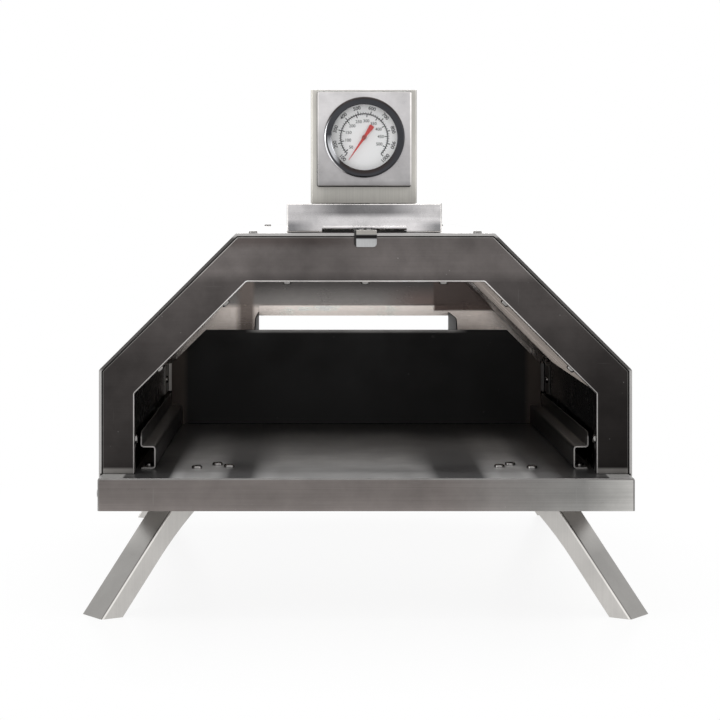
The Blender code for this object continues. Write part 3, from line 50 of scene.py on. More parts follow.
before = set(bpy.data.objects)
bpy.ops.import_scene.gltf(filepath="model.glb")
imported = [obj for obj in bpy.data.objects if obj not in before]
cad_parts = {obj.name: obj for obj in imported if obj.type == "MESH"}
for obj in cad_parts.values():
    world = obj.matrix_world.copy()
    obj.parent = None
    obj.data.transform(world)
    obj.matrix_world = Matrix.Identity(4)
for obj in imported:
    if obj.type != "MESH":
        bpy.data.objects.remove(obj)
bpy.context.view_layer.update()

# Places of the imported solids, in metres
SHELL_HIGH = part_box("outer_shell")[1]
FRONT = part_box("front_panel")[0].y
HALF, REAR, ROOF = SHELL_HIGH
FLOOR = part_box("base_pan")[1].z
PLATE_LOW, PLATE_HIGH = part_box("thermometer_plate")
SPINDLE_LOW, SPINDLE_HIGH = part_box("thermometer_spindle")
DIAL_CENTRE = Vector((0, PLATE_LOW.y, (SPINDLE_LOW.z + SPINDLE_HIGH.z) / 2))

# Sheet metal, as in the part's source
SHEET = 0.0010
HEAVY_SHEET = 0.0015
GAP = 0.0003
ROOF_HALF = 0.0995
SHOULDER = FLOOR + 0.0798
SIDE_BORDER = 0.0274
SHOULDER_BORDER = 0.0322
TOP_BORDER = 0.0374
FLANGE_MIDDLE = 0.0070
HOLE_SETBACK = 0.0055
RAIL_INSET = 0.0139
LEG_LEAN = math.radians(38.0)
LEG_HEADING = math.radians(34.8)

# Drilled holes, from the edge or face beside each, or as shares of the edge that they lie along
TOP_SHARES = (-0.66, 0.0, 0.66)
SLOPE_SHARES = (0.19, 0.78)
POST_SHARE = 0.42
ROOF_SHARE = 0.87
END_SHARES = (0.2, 0.8)
SKIRT_HOLE_DROP = 0.0155
RAIL_HOLE_INSET = 0.0050
RAIL_HOLE_SETBACK = 0.014
STRAP_HOLE_SETBACK = 0.0110
COLLAR_HOLE_INSET = 0.0045
BOX_HOLE_INSET = 0.00625
BOX_FLANGE_LOW = 0.004
BOX_FLANGE_HEIGHT = 0.052
TAB_RIVET_HALF = 0.0027
TAB_RIVET_SETBACK = 0.0075

DOUBLES = 0.00001                   # vertices this close are one
FLAT = math.radians(0.4)            # faces that differ less are one
SHARP = math.radians(50)            # edges that bend more stay crisp
FULL_TURN = 2 * math.pi
CORNER_STEPS = 4                    # short edges that a bend follows round a corner
FASTENER_TURN = 0.9                 # from one screw's recess to the next one's


# Settings

def colour(name, description, default):
    return FloatVectorProperty(name=name, description=description, subtype="COLOR", size=3,
                               min=0, max=1, default=default)


def number(name, description, default, **kind):
    return FloatProperty(name=name, description=description, default=default, **kind)


def length(name, description, default, **limits):
    return number(name, description, default, unit="LENGTH", **limits)


def angle(name, description, degrees):
    return number(name, description, math.radians(degrees), subtype="ANGLE", unit="ROTATION")


class OvenFinishSettings(PropertyGroup):
    """Colours of the finishes."""

    # The front panel's and the sill's dark tones are painted dark reflections on brushed steel.
    front_steel: colour("Front panel", "Dark brushed steel of the front panel",
                        (0.070, 0.063, 0.061))
    sill_steel: colour("Floor plate", "Brushed steel of the floor plate's sill",
                       (0.185, 0.166, 0.158))
    shell_steel: colour("Shell", "Brushed steel of the shell and the rear", (0.44, 0.43, 0.42))
    # A painted highlight along bends, turned-back edges and cut edges.
    bend_steel: colour("Bends", "Bare steel that shows along bends and turned-back edges",
                       (0.62, 0.60, 0.585))
    tube_steel: colour("Chimney", "Warm brushed steel of the chimney tube", (0.52, 0.505, 0.470))
    plate_steel: colour("Collar and dial plate", "Bright steel of the collar and dial plate",
                        (0.56, 0.545, 0.55))
    leg_steel: colour("Legs", "Brushed steel of the legs' flanges", (0.52, 0.505, 0.485))
    screw_steel: colour("Screws", "Steel of screws, bolts, pins and brackets",
                        (0.27, 0.262, 0.255))
    heat_black: colour("Heat-proof black", "Black finish of the baffle and the grate",
                       (0.0048, 0.0045, 0.0045))
    edge_radius: length("Edge radius", "Rounding of the sheet metal's cut edges", 0.00022,
                        min=0.00005, max=0.001)
    bend_radius: length("Bend radius", "Outer radius of the sheet metal's bends", 0.0015,
                        min=0.0011, max=0.003)


class OvenFastenerSettings(PropertyGroup):
    """Sizes of the screws, rivets and leg bolts."""

    screw_head: length("Screw head", "Radius of a sheet-metal screw's pan head", 0.0034)
    screw_height: length("Screw head height", "Height of a sheet-metal screw's head", 0.0019)
    screw_shank: length("Screw shank", "Radius of a sheet-metal screw's shank", 0.0015)
    bolt_head: length("Bolt head", "Radius of a leg bolt's head", 0.0042)
    bolt_height: length("Bolt head height", "Height of a leg bolt's head", 0.0024)
    bolt_shank: length("Bolt shank", "Radius of a leg bolt's shank", 0.0020)
    rivet_head: length("Rivet head", "Radius of a rivet's head", 0.0021)
    rivet_height: length("Rivet head height", "Height of a rivet's head", 0.0009)
    rivet_shank: length("Rivet shank", "Radius of a rivet's shank", 0.0013)


class OvenDialSettings(PropertyGroup):
    """Sizes of the thermometer's markings."""

    scale_radius: length("Scale radius", "Radius of the arc between the two scales", 0.0186)
    line_width: length("Line width", "Width of the long marks", 0.00080)
    ink_height: length("Ink height", "How far the printed marks stand off the dial", 0.00005)
    outer_text: length("Outer figures", "Size of the outer scale's figures", 0.0040)
    inner_text: length("Inner figures", "Size of the inner scale's figures", 0.0034)
    start_angle: angle("Scale start", "Where 100 stands, against the clock from the right", 223.5)
    step_angle: angle("Scale step", "Angle from one hundred to the next", 29.8)
    needle_angle: angle("Needle", "Where the needle points at rest", 235.6)
    ring_sides: IntProperty(name="Ring sides", description="Steps round the bezel", default=96,
                            min=24)


class OvenStudioSettings(PropertyGroup):
    """Camera, lamps and background."""

    camera_place: FloatVectorProperty(
        name="Camera", description="Where the camera stands", subtype="TRANSLATION",
        unit="LENGTH", size=3, default=(-0.038, FRONT - 1.696, 0.3146))
    lens: number("Lens", "Focal length in millimetres on a 36 mm sensor", 110.4)
    shift_across: number("Shift across", "Sideways shift as a share of the frame", 0.0611)
    shift_up: number("Shift up", "Vertical shift as a share of the frame", -0.218)
    sky: number("Sky", "Strength of the even light on dull surfaces", 0.80)
    top_lamp: number("Top lamp", "Power of the lamp over the oven", 6.0, unit="POWER")
    side_lamp: number("Side lamps", "Power of the strip lamps at both sides", 4.0, unit="POWER")
    rear_lamp: number("Rear lamp", "Power of the lamp behind the oven", 12.0, unit="POWER")


# Selecting and transforming

VERTS, EDGES, FACES = (True, False, False), (False, True, False), (False, False, True)


def deselect_all():
    for item in list(bpy.context.selected_objects):
        item.select_set(False)


def activate(piece):
    deselect_all()
    piece.select_set(True)
    bpy.context.view_layer.objects.active = piece


@contextmanager
def editing(piece):
    """Edit mode on one piece, all of it selected at first."""
    activate(piece)
    bpy.ops.object.mode_set(mode="EDIT")
    bpy.context.tool_settings.mesh_select_mode = VERTS
    bpy.ops.mesh.select_all(action="SELECT")
    yield
    bpy.ops.object.mode_set(mode="OBJECT")


def select_parts(piece, mode, wanted):
    """In edit mode, selects the edges or faces that a test picks, and counts them."""
    shape = bmesh.from_edit_mesh(piece.data)
    bpy.context.tool_settings.mesh_select_mode = mode
    bpy.ops.mesh.select_all(action="DESELECT")
    chosen = [part for part in (shape.edges if mode == EDGES else shape.faces) if wanted(part)]
    for part in chosen:
        part.select_set(True)
    shape.select_flush_mode()
    bmesh.update_edit_mesh(piece.data)
    return len(chosen)


def bevel_selected(width, segments=1, **shape):
    bpy.ops.mesh.bevel(offset=width, segments=segments, affect="EDGES", **shape)


def extrude_selected(step):
    bpy.ops.mesh.extrude_region_move(TRANSFORM_OT_translate={"value": tuple(step)})


def primitive(adder, name, **size):
    """Adds a primitive and gives the new object its name."""
    deselect_all()
    adder(**size)
    piece = bpy.context.active_object
    piece.name = name
    piece.data.name = name
    return piece


def apply_place(piece):
    activate(piece)
    bpy.ops.object.transform_apply(location=True, rotation=True, scale=True)


def block(name, size, centre, turn=0.0):
    """A stretched cube, the start of a bar or a cutter."""
    piece = primitive(bpy.ops.mesh.primitive_cube_add, name, size=1, location=centre)
    piece.scale = size
    piece.rotation_euler = (0, 0, turn)
    apply_place(piece)
    return piece


def apply_all_modifiers(piece):
    activate(piece)
    for modifier in list(piece.modifiers):
        bpy.ops.object.modifier_apply(modifier=modifier.name)


def tidy_normals(piece):
    """Merges doubles, then turns all faces outwards."""
    with editing(piece):
        bpy.ops.mesh.remove_doubles(threshold=DOUBLES / 10)
        bpy.ops.mesh.normals_make_consistent(inside=False)


def shade_round(piece, limit=SHARP):
    activate(piece)
    bpy.ops.object.shade_smooth_by_angle(angle=limit)


def copy_at(master, matrix):
    copy = master.copy()
    copy.data = master.data.copy()
    bpy.context.scene.collection.objects.link(copy)
    copy.matrix_world = matrix
    return copy


def join(pieces, name):
    """Joins pieces into one whose object sits at the origin."""
    activate(pieces[0])
    for piece in pieces:
        piece.select_set(True)
    if len(pieces) > 1:
        bpy.ops.object.join()
    whole = bpy.context.active_object
    whole.name = name
    whole.data.name = name
    apply_place(whole)
    return whole


def discard(piece):
    bpy.data.objects.remove(piece, do_unlink=True)


def facing(direction):
    return Vector(direction).to_track_quat("Z", "Y").to_matrix().to_4x4()


def traced(name, points):
    """A line of extruded vertices through points."""
    piece = primitive(bpy.ops.mesh.primitive_plane_add, name, size=0.001)
    with editing(piece):
        bpy.ops.mesh.merge(type="CENTER")
        bpy.ops.transform.translate(value=points[0])
        for point, following in zip(points, points[1:]):
            extrude_selected(Vector(following) - Vector(point))
    return piece


def spin(piece, steps, sweep=FULL_TURN):
    with editing(piece):
        bpy.ops.mesh.spin(steps=steps, angle=sweep, center=(0, 0, 0), axis=(0, 0, 1))
    tidy_normals(piece)


def spun(name, profile, sides):
    """Spins a profile of (radius, height) points round Z."""
    piece = traced(name, [(radius, 0, height) for radius, height in profile])
    spin(piece, sides)
    return piece


def dress(piece, material, body):
    """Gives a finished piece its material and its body."""
    piece.data.materials.clear()
    piece.data.materials.append(material)
    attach(piece, body)


# Materials. Grain is the noise's scale along each axis: low along the brushing, high across it.

ALONG, ACROSS = 7.0, 1100.0
ALONG_X = (ALONG, ACROSS, ACROSS)
ALONG_Y = (ACROSS, ALONG, ACROSS)
ALONG_Z = (ACROSS, ACROSS, ALONG)
LEVEL = (ALONG, ALONG, ACROSS)
EVEN = (1.0, 1.0, 1.0)
LONG_BANDS = (5.0, 5.0, 75.0)
SCRATCHES = (((23.0, 700.0, 700.0), (0.3, 0.7, 0.35)), ((700.0, 700.0, 29.0), (0.2, 0.45, 0.6)))
SCRATCH_STEEL = (0.55, 0.54, 0.53)
SPECK_STEEL = (0.42, 0.41, 0.40)
ASH = (0.30, 0.29, 0.27)
X, Y, Z = range(3)


class Nodes:
    """A short way to build one material's nodes."""

    def __init__(self, name):
        self.material = bpy.data.materials.new(name)
        self.material.use_nodes = True
        self.tree = self.material.node_tree
        self.shader = self.tree.nodes["Principled BSDF"]
        self.sources = {"lies": self.add("TexCoord", {}, "Object"),
                        "faces": self.add("NewGeometry", {}, "Normal")}

    def feed(self, socket, value):
        """Sets a socket to a number or a colour, or links another node's output to it."""
        if isinstance(value, bpy.types.NodeSocket):
            self.tree.links.new(value, socket)
        else:
            socket.default_value = (*value, 1.0) if socket.type == "RGBA" else value

    def add(self, kind, inputs, output=0, **settings):
        """Adds a node, sets it up, feeds its inputs and returns one of its outputs."""
        node = self.tree.nodes.new(f"ShaderNode{kind}")
        for key, value in settings.items():
            setattr(node, key, value)
        for socket, value in inputs.items():
            self.feed(node.inputs[socket], value)
        return node.outputs[output]

    def finish(self, inputs):
        """Feeds the shader and returns the material."""
        for socket, value in inputs.items():
            self.feed(self.shader.inputs[socket], value)
        return self.material

    def mapped(self, scale=EVEN, turn=(0, 0, 0), move=(0, 0, 0)):
        return self.add("Mapping", {"Vector": self.sources["lies"], "Scale": scale,
                                    "Rotation": turn, "Location": move}, "Vector")

    def noise(self, vector, scale=1.0, detail=2.0, roughness=0.5):
        return self.add("TexNoise", {"Vector": vector, "Scale": scale, "Detail": detail,
                                     "Roughness": roughness}, "Fac")

    def ranged(self, value, low, high, to_low=0.0, to_high=1.0):
        return self.add("MapRange", {"Value": value, "From Min": low, "From Max": high,
                                     "To Min": to_low, "To Max": to_high}, "Result")

    def swung(self, value, low, high, middle, swing):
        """Ranged to a middle value less and plus a swing."""
        return self.ranged(value, low, high, middle - swing, middle + swing)

    def maths(self, kind, first, second=0.0):
        return self.add("Math", {0: first, 1: second}, "Value", operation=kind)

    def product(self, *values):
        total = values[0]
        for value in values[1:]:
            total = self.maths("MULTIPLY", total, value)
        return total

    def mixed(self, share, first, second):
        return self.add("Mix", {0: share, 6: first, 7: second}, 2, data_type="RGBA")

    def scaled(self, shown, factor):
        return self.add("VectorMath", {0: shown, "Scale": factor}, "Vector", operation="SCALE")

    def axis(self, source, axis):
        return self.add("SeparateXYZ", {"Vector": self.sources[source]}, axis)

    def share(self, tests):
        """How far all tests of a zone hold, from 0 to 1."""
        shares = []
        for source, axis, low, high, both_ways in tests:
            value = self.axis(source, axis)
            if both_ways:
                value = self.maths("ABSOLUTE", value)
            shares.append(self.ranged(value, low, high))
        return self.product(*shares)

    def ramp(self, axis, low, high, start, end):
        """A number that changes with the place along an axis."""
        return self.ranged(self.axis("lies", axis), low, high, start, end)

    def bump(self, height, strength, distance):
        return self.add("Bump", {"Strength": strength, "Distance": distance, "Height": height},
                        "Normal")

    def turned(self, normal, share, way):
        """Shades a share of the surface as if it faced another way."""
        return self.add("Mix", {0: share, 4: normal, 5: way}, 1, data_type="VECTOR")


def shade(tone, factor):
    return tuple(min(1.0, channel * factor) for channel in tone)


# A zone is a part of a surface with a colour and a share of metal of its own. Its tests say
# where it faces or lies: each rises from 0 at its first value to 1 at its second.

def faces(axis, low, high):
    return "faces", axis, low, high, False


def lies(axis, low, high):
    return "lies", axis, low, high, False


def either(test):
    """The same test both ways along its axis."""
    return (*test[:-1], True)


def zone(tone, metal, *tests):
    return tests, tone, metal


def bends(axis, tone):
    """Painted highlight on everything that doesn't face along an axis: bends, turned-back edges
    and cut edges.
    """
    return zone(tone, 1.0, either(faces(axis, 0.985, 0.92)))


FOREWARD = faces(Y, -0.8, -0.95)
SIDEWAYS = either(faces(X, 0.9, 0.98))
# Painted shade on the front panel's faces turned up and on the shell's front and rear edges.
EDGE_SHADE = (0.10, 0.095, 0.092)


def brushed_steel(name, tone, roughness=0.34, grain=ALONG_X, contrast=0.06, smudge=0.06,
                  drift=0.0, bands=0.0, scratches=0.0, specks=0.0, turn=(0, 0, 0), zones=(),
                  ramps=(), rolled=None):
    """Brushed sheet: fine streaks along the grain, smudges, slow drift, scratches and specks.

    Ramps lighten or darken the steel along an axis. Where the tests of rolled hold, the steel
    catches the light as if it faced another way.
    """
    nodes = Nodes(name)
    streak = nodes.noise(nodes.mapped(grain, turn), 1.0, 3.0, 0.6)
    patch = nodes.noise(nodes.mapped(), 38.0, 5.0, 0.62)
    base, metal = tone, 1.0
    for tests, zone_tone, zone_metal in zones:
        share = nodes.share(tests)
        base = nodes.mixed(share, base, zone_tone)
        if zone_metal < 1:
            metal = nodes.maths("SUBTRACT", metal, nodes.product(share, 1 - zone_metal))
    light = nodes.product(nodes.swung(streak, 0.25, 0.75, 1, contrast),
                          nodes.swung(patch, 0.35, 0.65, 1, smudge))
    if drift:
        cloud = nodes.noise(nodes.mapped(move=(3, 1, 2)), 7.0)
        light = nodes.product(light, nodes.swung(cloud, 0.36, 0.64, 1, drift))
    if bands:
        band = nodes.noise(nodes.mapped(LONG_BANDS, move=(1, 4, 2)))
        light = nodes.product(light, nodes.swung(band, 0.36, 0.64, 1, bands))
    for ramp in ramps:
        light = nodes.product(light, nodes.ramp(*ramp))
    base = nodes.scaled(base, light)
    rough = nodes.maths("ADD", nodes.swung(streak, 0.2, 0.8, roughness, 0.03),
                        nodes.swung(patch, 0.3, 0.7, 0, smudge * 0.4))
    if scratches:
        lines = [nodes.ranged(nodes.noise(nodes.mapped(scale, slant), detail=1.0), 0.765, 0.80)
                 for scale, slant in SCRATCHES]
        base = nodes.mixed(nodes.product(nodes.maths("MAXIMUM", *lines), scratches), base,
                           SCRATCH_STEEL)
    if specks:
        cells = nodes.add("TexVoronoi", {"Vector": nodes.mapped(), "Scale": 150.0}, "Distance")
        thin = nodes.ranged(nodes.noise(nodes.mapped(move=(5, 5, 5)), 60.0, 1.0), 0.56, 0.66)
        base = nodes.mixed(nodes.product(nodes.ranged(cells, 0.085, 0.045), thin, specks), base,
                           SPECK_STEEL)
    normal = nodes.bump(streak, 0.12, 0.00006)
    if rolled:
        normal = nodes.turned(normal, nodes.share(rolled[0]), rolled[1])
    return nodes.finish({"Base Color": base, "Metallic": metal, "Normal": normal,
                         "Roughness": nodes.maths("MAXIMUM", rough, 0.08)})


def heat_black(name, tone, roughness=0.42, zones=()):
    """Black heat-proof steel, faintly mottled, with a dusting of ash."""
    nodes = Nodes(name)
    mottle = nodes.noise(nodes.mapped(), 26.0, 4.0, 0.6)
    base = nodes.mixed(nodes.ranged(mottle, 0.3, 0.7), shade(tone, 0.7), shade(tone, 1.5))
    ash = nodes.ranged(nodes.noise(nodes.mapped(move=(2, 7, 4)), 130.0), 0.72, 0.80)
    base = nodes.mixed(nodes.product(ash, 0.10), base, ASH)
    for tests, zone_tone, _ in zones:
        base = nodes.mixed(nodes.share(tests), base, zone_tone)
    rough = nodes.ranged(mottle, 0.3, 0.7, roughness - 0.07, roughness + 0.08)
    return nodes.finish({"Base Color": base, "Roughness": rough, "Metallic": 0.6,
                         "Normal": nodes.bump(nodes.noise(nodes.mapped(), 900.0), 0.10, 0.00008)})


def fibre_wool(name):
    """Pale ceramic fibre with a soft matted surface."""
    nodes = Nodes(name)
    mat = nodes.noise(nodes.mapped((1, 2.4, 1)), 240.0, 5.0, 0.65)
    cloud = nodes.noise(nodes.mapped(), 18.0, 3.0)
    base = nodes.mixed(nodes.ranged(mat, 0.3, 0.7), (0.70, 0.67, 0.62), (0.88, 0.87, 0.84))
    base = nodes.mixed(nodes.ranged(cloud, 0.4, 0.7, 0.0, 0.25), base, (0.62, 0.58, 0.52))
    return nodes.finish({"Base Color": base, "Roughness": 0.95,
                         "Normal": nodes.bump(mat, 0.5, 0.0006)})


def plain_gloss(name, tone, roughness, variation=0.05, metallic=0.0, fine=420.0, ramps=()):
    """Paint, moulded plastic or turned metal: a faint orange-peel and handling marks."""
    nodes = Nodes(name)
    cloud = nodes.noise(nodes.mapped(), 45.0, 3.0)
    base = nodes.mixed(nodes.ranged(cloud, 0.3, 0.7), shade(tone, 1 - variation),
                       shade(tone, 1 + variation))
    for ramp in ramps:
        base = nodes.scaled(base, nodes.ramp(*ramp))
    rough = nodes.ranged(cloud, 0.3, 0.7, roughness - 0.04, roughness + 0.05)
    return nodes.finish({"Base Color": base, "Roughness": rough, "Metallic": metallic,
                         "Normal": nodes.bump(nodes.noise(nodes.mapped(), fine), 0.08, 0.00004)})


def turned_steel(name, roughness, variation=0.05, fine=420.0):
    """Plain steel of pins and fasteners."""
    return plain_gloss(name, finishes().screw_steel, roughness, variation, 1.0, fine)


def clear_glass(name):
    """Thin flat glass over the dial: almost all of it see-through."""
    nodes = Nodes(name)
    haze = nodes.noise(nodes.mapped(), 60.0, 3.0)
    return nodes.finish({"Base Color": nodes.mixed(haze, (0.80, 0.82, 0.82), (0.90, 0.92, 0.92)),
                         "Roughness": nodes.ranged(haze, 0.3, 0.7, 0.03, 0.07), "Alpha": 0.03})


def finishes():
    return bpy.context.scene.oven_finish


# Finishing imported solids

def soften(piece):
    """Adds the modifiers that break the cut edges and even the shading."""
    bevel = piece.modifiers.new("edges", "BEVEL")
    bevel.width = finishes().edge_radius
    bevel.segments = 2
    bevel.limit_method = "ANGLE"
    bevel.angle_limit = SHARP
    bevel.use_clamp_overlap = True
    even = piece.modifiers.new("even", "WEIGHTED_NORMAL")
    even.keep_sharp = False
    even.weight = 100


def finish_nodes(material, *names, broken_edges=True):
    """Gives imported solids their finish, and breaks their cut edges with modifiers."""
    for name in names:
        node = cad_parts[name]
        activate(node)
        bpy.ops.object.shade_smooth()
        if broken_edges:
            weld = node.modifiers.new("weld", "WELD")
            weld.merge_threshold = DOUBLES
            flatten = node.modifiers.new("flatten", "DECIMATE")
            flatten.decimate_type = "DISSOLVE"
            flatten.angle_limit = FLAT
            soften(node)
        node.data.materials.clear()
        node.data.materials.append(material)


def breadth(face):
    """About how broad a face is, also where it runs round corners."""
    return 2 * face.calc_area() / face.calc_perimeter()


def bend_edges(piece, outer, sheet):
    """Where broad faces of a folded sheet meet, outside or inside, and on round its corners."""
    shape = bmesh.from_edit_mesh(piece.data)
    sharp = [edge for edge in shape.edges if len(edge.link_faces) == 2
             and edge.is_convex == outer and edge.calc_face_angle() > math.radians(30)]
    chosen = {edge for edge in sharp if edge.calc_length() > 4 * sheet
              and all(breadth(face) > 2 * sheet for face in edge.link_faces)}
    around = {face for edge in chosen for face in edge.link_faces}
    short = [edge for edge in sharp if edge.calc_length() < 2 * sheet
             and around.intersection(edge.link_faces)]
    for _ in range(CORNER_STEPS):
        ends = {vert for edge in chosen for vert in edge.verts}
        chosen.update(edge for edge in short if ends.intersection(edge.verts))
    return {edge.index for edge in chosen}


def folded_piece(node_name, name, material, body, sheet=SHEET):
    """A packed sheet copied and merged, its bends rounded inside and out, its cut edges broken."""
    piece = bpy.data.objects.new(name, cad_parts[node_name].data.copy())
    piece.data.name = name
    bpy.context.scene.collection.objects.link(piece)
    outside = finishes().bend_radius + sheet - SHEET
    with editing(piece):
        bpy.ops.mesh.remove_doubles(threshold=DOUBLES)
        bpy.ops.mesh.dissolve_limited(angle_limit=FLAT)
        for outer, radius in ((True, outside), (False, outside - sheet)):
            bends_here = bend_edges(piece, outer, sheet)
            if select_parts(piece, EDGES, lambda edge: edge.index in bends_here):
                bevel_selected(radius, 4, offset_type="OFFSET", profile=0.5, clamp_overlap=True)
    bpy.ops.object.shade_smooth()
    soften(piece)
    apply_all_modifiers(piece)
    dress(piece, material, body)
    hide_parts(node_name)
    return piece


# Fasteners

def pan_head(name, head, height, shank, depth, recess=0.0):
    """A pan head over a shank, seated on z = 0, with a cross recess when one is wanted."""
    rounded, point = height * 0.72, shank * 0.3
    arm_width, arm_depth, arm_bevel, first_turn = recess * 0.42, height * 0.55, recess * 0.16, 0.4
    screw = primitive(bpy.ops.mesh.primitive_cylinder_add, name, vertices=32, radius=head,
                      depth=height, location=(0, 0, height / 2))
    with editing(screw):
        select_parts(screw, EDGES, lambda edge: all(v.co.z > height * 0.45 for v in edge.verts))
        bevel_selected(rounded, 4, profile=0.6)
        select_parts(screw, FACES, lambda face: face.normal.z < -0.9)
        bpy.ops.mesh.inset(thickness=head - shank, depth=0)
        extrude_selected((0, 0, -depth))
        bpy.ops.mesh.inset(thickness=point, depth=0)
        bpy.ops.transform.translate(value=(0, 0, -point))
    apply_place(screw)
    for turn in (first_turn, first_turn + math.pi / 2) if recess else ():
        slot = block("slot", (recess * 2, arm_width, arm_depth * 2), (0, 0, height), turn)
        with editing(slot):
            select_parts(slot, EDGES, lambda edge: all(v.co.z < height for v in edge.verts))
            bevel_selected(arm_bevel)
        cutter = screw.modifiers.new("recess", "BOOLEAN")
        cutter.operation = "DIFFERENCE"
        cutter.solver = "EXACT"
        cutter.object = slot
        apply_all_modifiers(screw)
        discard(slot)
    tidy_normals(screw)
    shade_round(screw, math.radians(35))
    return screw


def set_fasteners(master, name, places, material, body="oven"):
    """Copies of one fastener, each at a seat and along a direction, joined into one piece."""
    copies = [copy_at(master, Matrix.Translation(seat) @ facing(direction)
                      @ Matrix.Rotation(FASTENER_TURN * count, 4, "Z"))
              for count, (seat, direction) in enumerate(places)]
    piece = join(copies, name)
    dress(piece, material, body)
    return piece


# Seats of the fasteners, each with the way its head faces

UP, INWARD, OUTWARD, BACKWARD = (0, 0, 1), (-1, 0, 0), (1, 0, 0), (0, 1, 0)


def both_sides(places):
    """The given places on the right, then mirrored to the left."""
    mirrored = [((-seat[0], seat[1], seat[2]), (-way[0], way[1], way[2])) for seat, way in places]
    return list(places) + mirrored


def mouth_corners():
    """Shoulder and top corner of the mouth's right half, as X and Z."""
    run = Vector((ROOF_HALF - HALF, ROOF - SHOULDER)).normalized()
    start = Vector((HALF, SHOULDER)) + Vector((-run.y, run.x)) * SHOULDER_BORDER
    low = start + run * ((HALF - SIDE_BORDER - start.x) / run.x)
    high = start + run * ((ROOF - TOP_BORDER - start.y) / run.y)
    return low, high


def mouth_places():
    low, high = mouth_corners()
    depth = FRONT + FLANGE_MIDDLE
    places = [((share * high.x, depth, high.y), (0, 0, -1)) for share in TOP_SHARES]
    run = low - high
    inward = tuple(Vector((-abs(run.y), 0, -abs(run.x))).normalized())
    slopes = [high + run * share for share in SLOPE_SHARES]
    right = [((point.x, depth, point.y), inward) for point in slopes]
    base = FLOOR + GAP
    right.append(((low.x, depth, base + (low.y - base) * POST_SHARE), INWARD))
    return places + both_sides(right)


def roof_places():
    return both_sides([((ROOF_HALF * ROOF_SHARE, depth, ROOF), UP)
                       for depth in (FRONT + FLANGE_MIDDLE, REAR - FLANGE_MIDDLE)])


def skirt_places():
    return both_sides([((HALF, depth, FLOOR - SKIRT_HOLE_DROP), OUTWARD)
                       for depth in (FRONT + HOLE_SETBACK, REAR - HOLE_SETBACK)])


def rail_places():
    low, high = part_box("stone_rail_right")
    across = HALF - SIDE_BORDER - RAIL_INSET + SHEET + RAIL_HOLE_INSET
    return both_sides([((across, depth, FLOOR + GAP + SHEET), UP)
                       for depth in (low.y + RAIL_HOLE_SETBACK,
                                     high.y + GAP - RAIL_HOLE_SETBACK)])


def burner_plate_places():
    low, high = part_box("burner_side_plate_right")
    return both_sides([((low.x + SHEET + HOLE_SETBACK, low.y + (high.y - low.y) * share,
                         FLOOR + GAP + SHEET), UP) for share in END_SHARES])


def strap_places():
    low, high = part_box("baffle_bracket_right")
    return both_sides([((high.x - SHEET, low.y + STRAP_HOLE_SETBACK, (low.z + high.z) / 2),
                        INWARD)])


def pellet_box_places():
    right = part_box("pellet_box")[1].x - BOX_HOLE_INSET
    bottom = FLOOR + BOX_FLANGE_LOW
    return both_sides([((right, REAR + GAP + SHEET, bottom + BOX_FLANGE_HEIGHT * share), BACKWARD)
                       for share in END_SHARES])


def collar_rivet_places():
    low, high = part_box("chimney_collar")
    middle = (low.y + high.y) / 2
    reach = (high.y - low.y) / 4
    across = high.x - SHEET - COLLAR_HOLE_INSET
    return both_sides([((across, middle + end * reach, ROOF + GAP + SHEET), UP)
                       for end in (-1, 1)])


def damper_rivet_places():
    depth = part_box("damper_plate")[0].y + TAB_RIVET_SETBACK
    return both_sides([((TAB_RIVET_HALF, depth, ROOF + 2 * (GAP + SHEET)), UP)])


